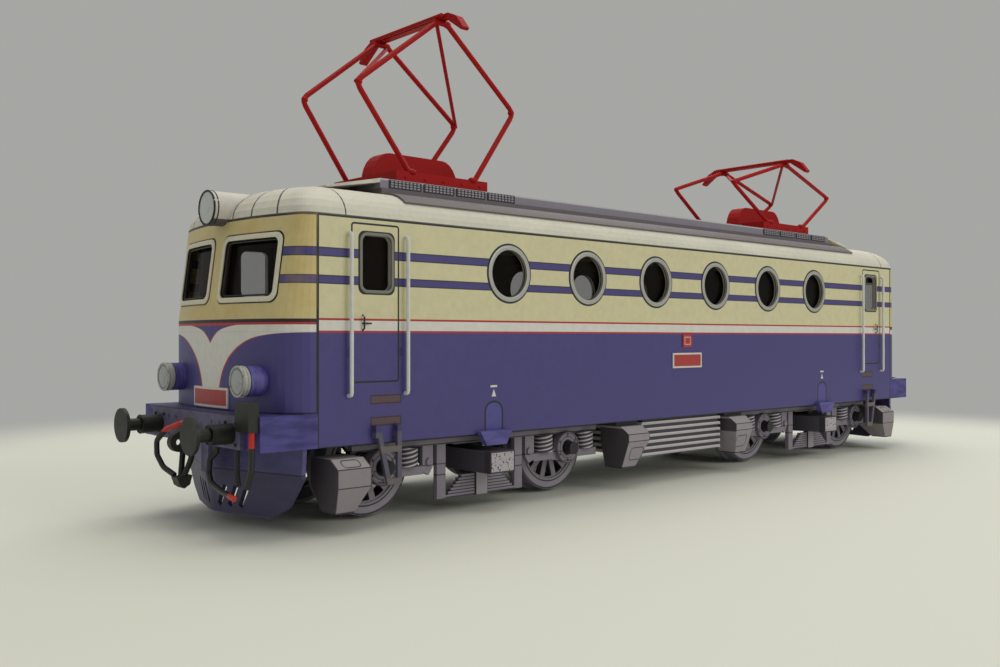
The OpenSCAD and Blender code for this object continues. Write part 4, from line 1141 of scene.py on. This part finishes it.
@dataclass
class BodyShell:
    """The walls, cab fronts, floor and glazing, with their window rims and door fittings."""

    half_w: float = 16.9
    seam_x: float = 76.2
    crease: float = 27.1
    cant: float = 40.5
    bulge: float = 6.3
    bulge_top: float = 4.5
    corner_r: float = 4.77
    corner_r_top: float = 2.4
    porthole_first: float = 8.65
    porthole_pitch: float = 17.25
    porthole_z: float = 34.25
    porthole_r: float = 3.55
    rim_outer: float = 4.2
    rim_proud: float = 0.16
    lip_r: float = 3.5
    door_hole: tuple[float, float, float, float] = (64.8, 69.5, 31.0, 38.2)
    door_frame: tuple[float, float, float, float] = (64.4, 69.9, 30.6, 38.6)
    front_hole: tuple[float, float, float, float] = (1.9, 13.1, 30.0, 37.6)
    front_frame: tuple[float, float, float, float] = (1.25, 13.75, 29.35, 38.25)
    handle: tuple[float, float, float] = (69.4, 25.7, 27.7)

    def dress(self) -> None:
        """Print the card pieces and glaze the windows."""
        for side in ("side_wall_left", "side_wall_right"):
            cover(side, SidePrint("varnished_side_card", LIVERY.cream, roughness=0.42))
        for number in (1, 2):
            cover(f"cab_front_{number}", FrontPrint("varnished_front_card", "#d3c288", roughness=0.42))
        cover("floor_plate", BROWN_CARD)
        cover("bulkheads", BROWN_CARD)
        cover("window_foil", ClearFoil("clear_polyester_foil", "#1c160d", roughness=0.08, ior=1.4))
        cover("number_plates", PlatePrint("glossy_red_plate_card", "#b03a38", roughness=0.35))
        cover("handrails", WornPaint("white_painted_wire", "#d9dad8", roughness=0.4, scuff="#9c9c98"))
        cover("sand_fillers", BrushedPaint("brushed_blue_card", "#4a4488", roughness=0.5, second="#6560a8"))
        cover("door_steps", StepPrint("painted_step_card", "#5a5668", roughness=0.6))

    def front_x(self, y: float, z: float) -> float:
        """Place of the front's outer face.

        Args:
            y: Distance from the middle.
            z: Height above the rail.

        Returns:
            The distance along X.
        """
        lean = max(0.0, (z - self.crease) / (self.cant - self.crease))
        bulge = self.bulge + (self.bulge_top - self.bulge) * lean
        corner = self.corner_r + (self.corner_r_top - self.corner_r) * lean
        big = (bulge**2 + (self.half_w - corner) ** 2 - corner**2) / (2 * (bulge - corner))
        return self.seam_x + bulge - big + math.sqrt(big * big - y * y)

    def porthole_rims(self, side: Side) -> None:
        """Ring each porthole of one side with a rounded silver rim and a dark inner lip."""
        rims, lips = Shape(), Shape()
        inner = self.porthole_r - 0.02
        profile = [(inner, 0.0), (inner, 0.8), (self.porthole_r + 0.12, 1.0)]
        profile += [(self.rim_outer - 0.14, 1.0), (self.rim_outer, 0.7), (self.rim_outer, 0.0)]
        places = [self.porthole_first + i * self.porthole_pitch for i in range(3)]
        for x in [sign * place for place in places for sign in (-1, 1)]:
            rings = []
            for i in range(48):
                turn = 2 * math.pi * i / 48
                ring = [
                    Vector(
                        (
                            x + r * math.cos(turn),
                            side.value * (self.half_w + 0.01 + self.rim_proud * lift),
                            self.porthole_z + r * math.sin(turn),
                        )
                    )
                    for r, lift in profile
                ]
                rings.append(ring)
            rims.tube(rings, closed=True)
            middle = Vector((x, side.value * (self.half_w - 0.35), self.porthole_z))
            lips.wire(circle(middle, self.lip_r, 48, 1), 0.09, 6, closed=True)
        rims.piece(f"porthole_rims_{side.name.lower()}", SILVER_CARD, INSIDE, "painted_side_card")
        lips.piece(f"porthole_lips_{side.name.lower()}", DARK_RUBBER, INSIDE, "painted_side_card")

    def flat_rim(
        self, shape: Shape, hole: tuple[float, ...], border: tuple[float, ...], radius: float, spot: Any
    ) -> None:
        """Lay a rounded frame round one window, on whatever surface spot() gives.

        Args:
            shape: The shape that takes the frame.
            hole: Its inner edges.
            border: Its outer edges.
            radius: The corner radius of its inner edge.
            spot: Place on the surface from two coordinates and a height off it.
        """
        inner = rounded_outline(hole, radius)
        outer = rounded_outline(border, radius + 0.4)
        rings = []
        for (a, b), (c, d) in zip(inner, outer):
            rings.append(
                [
                    spot(a, b, 0.0),
                    spot(a, b, self.rim_proud * 0.8),
                    spot(a + (c - a) * 0.25, b + (d - b) * 0.25, self.rim_proud),
                    spot(a + (c - a) * 0.75, b + (d - b) * 0.75, self.rim_proud),
                    spot(c, d, self.rim_proud * 0.6),
                    spot(c, d, 0.0),
                ]
            )
        shape.tube(rings, closed=True)

    def door_rims(self) -> None:
        """Frame the four door windows."""
        shape = Shape()
        for side in Side:
            for end in End:

                def spot(a: float, b: float, off: float, s: int = side.value, e: int = end.value) -> Vector:
                    """Place on the side wall."""
                    return Vector((e * a, s * (self.half_w + 0.01 + off), b))

                self.flat_rim(shape, self.door_hole, self.door_frame, 0.8, spot)
        shape.piece("door_window_rims", GREY_RIM, INSIDE, "painted_side_card")

    def front_rims(self) -> None:
        """Frame the four front windows on the curved, leaning fronts, with an inner dark line."""
        pale, dark = Shape(), Shape()
        grown = tuple(edge + step for edge, step in zip(self.front_hole, (0.24, -0.24, 0.24, -0.24)))
        for side in Side:
            for end in End:

                def spot(a: float, b: float, off: float, s: int = side.value, e: int = end.value) -> Vector:
                    """Place on the curved front."""
                    return Vector((e * (self.front_x(a, b) + 0.03 + off), s * a, b))

                self.flat_rim(pale, self.front_hole, self.front_frame, 0.85, spot)
                path = [spot(a, b, -0.3) for a, b in rounded_outline(grown, 0.7)]
                dark.wire(path, 0.13, 6, closed=True)
        pale.piece("front_window_rims", PALE_RIM, INSIDE, "painted_side_card")
        dark.piece("front_window_lines", DARK_RUBBER, INSIDE, "painted_side_card")

    def door_handles(self) -> None:
        """Bend a small wire handle on each door."""
        shape = Shape()
        x, low, high = self.handle
        for side in Side:
            for end in End:
                face = side.value * (self.half_w + 0.02)
                out = side.value * (self.half_w + 0.42)
                upright = [
                    Vector((end.value * x, face, low)),
                    Vector((end.value * x, out, low + 0.25)),
                    Vector((end.value * x, out, high - 0.25)),
                    Vector((end.value * x, face, high)),
                ]
                shape.wire(upright, 0.12, 8)
                lever = [
                    Vector((end.value * x, face, low + 0.9)),
                    Vector((end.value * x, out, low + 0.9)),
                    Vector((end.value * (x - 1.1), out, low + 0.9)),
                ]
                shape.wire(lever, 0.12, 8)
        shape.piece("door_handles", DARK_RUBBER, INSIDE, "black_wire")

    def build(self) -> None:
        """Build the shell's added pieces and dress its card."""
        self.dress()
        for side in Side:
            self.porthole_rims(side)
        self.door_rims()
        self.front_rims()
        self.door_handles()


@dataclass
class LampSet:
    """The head lamps, with bright rims and domed glass."""

    low_y: float = 10.9
    low_z: float = 19.2
    low_face: float = 84.2
    low_r: float = 1.95
    high_z: float = 42.2
    high_face: float = 83.0
    high_r: float = 2.35

    def dress(self) -> None:
        """Paint the cases and print the lenses."""
        cover("lower_lamps", LampPaint("brushed_blue_lamp_card", "#4b4594", roughness=0.5))
        cover("upper_lamps", RoofPrint("rolled_roof_card", "#d6d3ca", roughness=0.6, fan_angles=()))
        cover("lamp_lenses", LENS_PAPER)

    def rim(self, shape: Shape, centre: Vector, radius: float) -> None:
        """Wrap a thin rim round one lamp.

        Args:
            shape: The shape that takes it.
            centre: The middle of the lamp's face.
            radius: The radius of its case.
        """
        for reach, back, thick in ((radius - 0.06, 0.0, 0.15), (radius - 0.02, 0.55, 0.1)):
            shift = Vector((math.copysign(back, centre.x), 0, 0))
            shape.wire(circle(centre - shift, reach, 40, 0), thick, 8, closed=True)

    def glass(self, shape: Shape, centre: Vector, radius: float) -> None:
        """Dome one lens slightly.

        Args:
            shape: The shape that takes it.
            centre: The middle of the lens.
            radius: Its radius.
        """
        rings = []
        for share in (1.0, 0.75, 0.5, 0.25, 0.05):
            dome = math.copysign(0.16 * (1 - share * share), centre.x)
            rings.append(circle(centre + Vector((dome, 0, 0)), radius * share, 32, 0))
        shape.tube(rings, closed=False, capped=True)

    def build(self) -> None:
        """Add the rims and the domed glass of all six lamps."""
        self.dress()
        rims, top_rims, domes = Shape(), Shape(), Shape()
        for end in End:
            for side in Side:
                centre = Vector((end.value * self.low_face, side.value * self.low_y, self.low_z))
                self.rim(rims, centre, self.low_r)
                self.glass(domes, centre + Vector((end.value * 0.02, 0, 0)), self.low_r - 0.22)
            centre = Vector((end.value * self.high_face, 0, self.high_z))
            self.rim(top_rims, centre, self.high_r)
            self.glass(domes, centre + Vector((end.value * 0.02, 0, 0)), self.high_r - 0.22)
        rims.piece("lower_lamp_rims", SILVER_CARD, INSIDE, "lens")
        top_rims.piece("upper_lamp_rims", DARK_RUBBER, INSIDE, "lens")
        domes.piece("lamp_glasses", LENS_PAPER, INSIDE, "lens")


@dataclass
class RoofSet:
    """The roof, its domed ends, the walkway with its foot strips, and the grilles."""

    eaves_y: float = 16.9
    eaves_z: float = 40.5
    shoulder_in: float = 6.8
    shoulder_rise: float = 4.4
    strip_half_len: float = 61.5
    strip_inner_y: float = 10.4
    strip_outer_y: float = 15.5
    strip_t: float = 0.3

    def on_shoulder(self, y: float, lift: float) -> tuple[float, float]:
        """Place over the curved shoulder.

        Args:
            y: Distance of the point below it from the middle.
            lift: Distance outward from the card.

        Returns:
            The distance from the middle and the height.
        """
        turn = math.acos(1 - (self.eaves_y - y) / self.shoulder_in)
        normal = Vector((math.cos(turn) / self.shoulder_in, math.sin(turn) / self.shoulder_rise)).normalized()
        return y + lift * normal.x, self.eaves_z + self.shoulder_rise * math.sin(turn) + lift * normal.y

    def foot_strips(self) -> None:
        """Lay a wide dark card strip at each foot of the walkway along the roof's shoulder; its grey is
        partly the wider foot and partly painted shade.
        """
        shape = Shape()
        steps = 8
        width = self.strip_outer_y - self.strip_inner_y
        stations = [self.strip_inner_y + width * i / steps for i in range(steps + 1)]
        loop = [self.on_shoulder(y, self.strip_t) for y in stations]
        loop += [self.on_shoulder(y, 0.03) for y in reversed(stations)]
        for side in Side:
            rings = [
                [Vector((x, side.value * y, z)) for y, z in loop]
                for x in (-self.strip_half_len, self.strip_half_len)
            ]
            shape.tube(rings, closed=False, capped=True)
        # Dark grey strips: partly a wider walkway foot, partly painted shade along the walkway.
        foot = Finish("walkway_foot_and_painted_shade_card", "#6f6869", roughness=0.62)
        shape.piece("walkway_foot_and_shade_strips", foot, INSIDE, "walkway_card")

    def build(self) -> None:
        """Dress the roof's pieces and add the foot strips."""
        self.foot_strips()
        cover("roof", RoofPrint("matt_roof_card", "#dedbcb", roughness=0.62))
        for number in (1, 2):
            cover(f"roof_end_{number}", RoofPrint("matt_roof_card", "#dedbcb", roughness=0.62))
        cover("walkway_cowls", BrushedPaint("washed_cowl_card", "#dcd9cc", roughness=0.62, second="#c2bfb6"))
        cover("roof_walkway", WalkwayPrint("lilac_walkway_card", "#8f8a96", roughness=0.6))
        cover("walkway_grilles", GrillePrint("printed_grille_card", "#2f2c35", roughness=0.55))


@dataclass
class Collectors:
    """The two red current collectors, with solder drops at their elbows and bolts on their bases."""

    centres: tuple[float, float] = (48.7, -46.8)
    elbows: tuple[tuple[float, float], ...] = ((15.3, 13.8), (18.8, 9.2))
    tops: tuple[float, float] = (25.1, 14.6)
    walkway_z: float = 47.4
    half_w: float = 8.0
    base_h: float = 1.8

    def build(self) -> None:
        """Paint the collectors and add their joints."""
        for number in (1, 2):
            cover(f"collector_base_{number}", COLLECTOR_RED)
            cover(f"collector_frame_{number}", COLLECTOR_RED)
            cover(f"contact_bow_{number}", COLLECTOR_RED)
        cover("roof_lead", Finish("black_enamelled_wire", "#1d1d20", roughness=0.4))
        for number, (x, (reach, rise), top) in enumerate(zip(self.centres, self.elbows, self.tops), 1):
            joints, bolts = Shape(), Shape()
            for side in Side:
                for end in End:
                    across = side.value * (self.half_w - 0.7)
                    middle = Vector((x + end.value * (reach - 0.5), across, self.walkway_z + rise))
                    joints.ball(middle, Vector((0.52, 0.55, 0.52)))
                    crown = Vector((x + end.value, side.value * (self.half_w - 0.2), self.walkway_z + top))
                    joints.ball(crown, Vector((0.62, 0.55, 0.55)))
                    foot_z = self.walkway_z + self.base_h
                    foot = Vector((x + end.value * 5.9, side.value * self.half_w, foot_z))
                    joints.ball(foot, Vector((0.75, 0.6, 0.5)))
                for along in (-7.2, -3.6, 0.0, 3.6, 7.2):
                    spot = Vector((x + along, side.value * (self.half_w + 0.26), self.walkway_z + 0.9))
                    bolts.ball(spot, Vector((0.24, 0.14, 0.24)), 6)
            joints.piece(f"collector_joints_{number}", COLLECTOR_RED, INSIDE, "red_wire")
            bolts.piece(f"collector_bolts_{number}", COLLECTOR_RED, INSIDE, "red_paint")


@dataclass
class Underframe:
    """The end boxes, buffer gear, ploughs, hoses and the boxes under the middle."""

    beam_face: float = 84.9
    buffer_y: float = 10.5
    buffer_z: float = 12.7
    bolt_off: float = 1.35
    collar_ahead: float = 2.85
    collar_r: float = 1.22

    def dress(self) -> None:
        """Paint and print the underframe's pieces."""
        blue = BrushedPaint("brushed_end_box_card", "#302b6c", roughness=0.5, second="#524d9a")
        plough = PloughPaint(
            "brushed_plough_card",
            "#4d4878",
            roughness=0.52,
            second="#635f90",
            strokes=(1.0, 0.3, 1.0),
            strength=0.6,
        )
        for number in (1, 2):
            cover(f"underframe_end_{number}", blue)
            cover(f"snow_plough_{number}", plough)
            cover(f"buffers_{number}", BLACK_PAINT)
            cover(f"coupling_{number}", BLACK_PAINT)
            cover(f"brake_hoses_{number}", HosePaint("enamelled_hose_wire", "#17171a", roughness=0.35))
        beam = BeamPaint("brushed_beam_card", "#565370", roughness=0.55, second="#6f6b8b", strength=0.5)
        cover("buffer_beams", beam)
        cover("jumper_boxes", JumperPaint("black_painted_box_card", "#1e211a", roughness=0.45))
        cover("centre_box", CentreBoxPrint("ribbed_grey_card", "#b9b5b9", roughness=0.6))
        cover("equipment_boxes", BoxPrint("warm_grey_box_card", "#99929a", roughness=0.6))

    def buffer_collars(self) -> None:
        """Add the four flange bolts behind each buffer, and the collar round its plunger."""
        shape = Shape()
        for end in End:
            for side in Side:
                mid = Vector((end.value * (self.beam_face + 0.02), side.value * self.buffer_y, self.buffer_z))
                for across in (-self.bolt_off, self.bolt_off):
                    for up in (-self.bolt_off, self.bolt_off):
                        bolt = mid + Vector((end.value * 0.08, across, up))
                        shape.ball(bolt, Vector((0.16, 0.24, 0.24)), 6)
                collar = mid + Vector((end.value * self.collar_ahead, 0, 0))
                shape.wire(circle(collar, self.collar_r, 28, 0), 0.14, 8, closed=True)
        shape.piece("buffer_collars", BLACK_PAINT, INSIDE, "black_paint")

    def build(self) -> None:
        """Dress the underframe and add the buffers' small parts."""
        self.dress()
        self.buffer_collars()


@dataclass
class Bogie:
    """One bogie: its frame, bolster, springs and boxes; its two wheelsets are built apart."""

    number: int
    body: str
    centre_x: float = 46.3
    axle_x: float = 18.1
    axle_z: float = 7.1
    frame_face: float = 14.6
    box_rim_r: float = 2.36
    box_bolt_r: float = 1.8

    def dress(self) -> None:
        """Print the bogie's card pieces."""
        n = self.number
        cover(f"bogie_frame_{n}", FramePrint("grey_bogie_card", "#87808c", roughness=0.6))
        cover(f"bolster_{n}", BolsterPrint("stippled_bolster_card", "#b3adb2", roughness=0.62))
        cover(f"leaf_springs_{n}", LeafPrint("leaf_spring_card", "#8b8590", roughness=0.6))
        cover(f"coil_springs_{n}", CoilPrint("rolled_spring_card", "#8f8994", roughness=0.58))
        cover(f"sandboxes_{n}", SandboxPrint("warm_grey_sandbox_card", "#8f888c", roughness=0.6))

    def axlebox_covers(self) -> None:
        """Ring each axlebox with a raised rim and six bolts."""
        shape = Shape()
        sign = 1 if self.number == 1 else -1
        for side in Side:
            for step in (-1, 1):
                x = sign * (self.centre_x + step * self.axle_x)
                centre = Vector((x, side.value * (self.frame_face + 0.02), self.axle_z))
                shape.wire(circle(centre, self.box_rim_r, 36, 1), 0.13, 8, closed=True)
                for i in range(6):
                    turn = math.pi * (2 * i + 1) / 6
                    spot = centre + self.box_bolt_r * Vector((math.cos(turn), 0, math.sin(turn)))
                    shape.ball(spot, Vector((0.2, 0.16, 0.2)), 6)
        finish = Finish("grey_axlebox_card", "#6d6772", roughness=0.55)
        shape.piece(f"axlebox_rims_{self.number}", finish, self.body, "grey_card")

    def build(self) -> None:
        """Dress the bogie and add its axlebox rims."""
        self.dress()
        self.axlebox_covers()


@dataclass
class Wheelset:
    """One axle with its two spoked wheels."""

    number: int
    axle_x: float
    hub_face: float = 10.42
    hub_ring_r: float = 1.5

    def build(self) -> None:
        """Print the wheels and add the hub rings."""
        finish = WheelPrint(f"wheel_card_{self.number}", "#958f99", roughness=0.5, axle_x=self.axle_x)
        cover(f"wheelset_{self.number}", finish)
        shape = Shape()
        for side in Side:
            centre = Vector((self.axle_x, side.value * self.hub_face, finish.axle_z))
            shape.wire(circle(centre, self.hub_ring_r, 32, 1), 0.16, 8, closed=True)
        hub = Finish("wheel_hub_card", "#5d5862", roughness=0.5)
        shape.piece(f"hub_rings_{self.number}", hub, f"wheelset_{self.number}", "wheel_card")


def cover(node: str, finish: Finish) -> None:
    """Give a CAD node its finish.

    Args:
        node: The node's name.
        finish: The finish.
    """
    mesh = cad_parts[node].data
    mesh.materials.clear()
    mesh.materials.append(finish.build())
    for polygon in mesh.polygons:
        polygon.material_index = 0
    LOG.info("%s: %s", node, finish.name)


@dataclass
class Studio:
    """The camera, the lights and the pale floor."""

    camera_at: tuple[float, float, float] = (143.78, 125.28, 25.32)
    camera_to: tuple[float, float, float] = (-0.6735, -0.7392, 0.0035)
    lens: float = 35.74
    sensor: float = 36.0
    floor_r: float = 205.0
    wall: str = "#b3b3b0"

    def camera(self) -> None:
        """Stand the camera low beside the front corner."""
        data = bpy.data.cameras.new("studio_camera")
        data.lens, data.sensor_width = self.lens, self.sensor
        data.clip_start, data.clip_end = 0.005, 20.0
        data.dof.use_dof = False
        eye = bpy.data.objects.new("studio_camera", data)
        bpy.context.scene.collection.objects.link(eye)
        turn = Vector(self.camera_to).to_track_quat("-Z", "Y")
        eye.matrix_world = Matrix.Translation(Vector(self.camera_at) * MM) @ turn.to_matrix().to_4x4()
        bpy.context.scene.camera = eye

    def floor(self) -> None:
        """Lay a round sheet of pale paper under the wheels."""
        rings = [0.0, 60.0, 110.0, 160.0, self.floor_r]
        points, faces = [(0.0, 0.0, 0.0)], []
        sides = 96
        for reach in rings[1:]:
            for i in range(sides):
                turn = 2 * math.pi * i / sides
                points.append((reach * MM * math.cos(turn), reach * MM * math.sin(turn), 0.0))
        for i in range(sides):
            faces.append((0, 1 + i, 1 + (i + 1) % sides))
            for k in range(len(rings) - 2):
                low, high = 1 + k * sides, 1 + (k + 1) * sides
                faces.append((low + i, high + i, high + (i + 1) % sides, low + (i + 1) % sides))
        mesh = bpy.data.meshes.new("studio_floor")
        mesh.from_pydata(points, [], faces)
        mesh.materials.append(StudioSweep("pale_studio_paper", "#e3e5da", roughness=0.85).build())
        floor = bpy.data.objects.new("studio_floor", mesh)
        bpy.context.scene.collection.objects.link(floor)

    def light(self, name: str, at: Sequence[float], size: float, watts: float, colour: str) -> None:
        """Hang one soft light that points at the model.

        Args:
            name: Its name.
            at: Its place in millimetres.
            size: The side of its square in millimetres.
            watts: Its power.
            colour: Its colour.
        """
        data = bpy.data.lights.new(name, "AREA")
        data.shape, data.size, data.energy = "SQUARE", size * MM, watts
        data.color = linear(colour)[:3]
        lamp = bpy.data.objects.new(name, data)
        bpy.context.scene.collection.objects.link(lamp)
        place = Vector(at) * MM
        turn = (Vector((0, 0, 25 * MM)) - place).to_track_quat("-Z", "Y")
        lamp.matrix_world = Matrix.Translation(place) @ turn.to_matrix().to_4x4()

    def build(self) -> None:
        """Set the camera, the floor, the lights and the grey wall colour."""
        self.camera()
        self.floor()
        self.light("overhead_softbox", (-40, -60, 520), 420, 1.25, "#fffaf0")
        self.light("side_softbox", (-120, 430, 250), 300, 0.55, "#fffdf8")
        self.light("far_softbox", (-420, -260, 320), 360, 0.45, "#f3f6ff")
        world = bpy.data.worlds.new("studio_wall")
        world.use_nodes = True
        world.node_tree.nodes.clear()
        back = add_node(world.node_tree, "ShaderNodeBackground", {}, {0: linear(self.wall), 1: 0.85})
        add_node(world.node_tree, "ShaderNodeOutputWorld", {}, {0: back.outputs[0]})
        scene = bpy.context.scene
        scene.world = world
        scene.view_settings.view_transform = "Standard"


def main() -> None:
    """Build every sub-assembly in order."""
    logging.basicConfig(level=logging.INFO, format="%(name)s: %(message)s")
    shell = BodyShell()
    shell.build()
    LampSet().build()
    RoofSet().build()
    Collectors().build()
    Underframe().build()
    for number, body in ((1, "front_bogie"), (2, "rear_bogie")):
        Bogie(number, body).build()
    bogie = Bogie(1, "front_bogie")
    outer, inner = bogie.centre_x + bogie.axle_x, bogie.centre_x - bogie.axle_x
    for number, axle_x in enumerate((outer, inner, -inner, -outer), 1):
        Wheelset(number, axle_x).build()
    Studio().build()


if __name__ == "__main__":
    main()
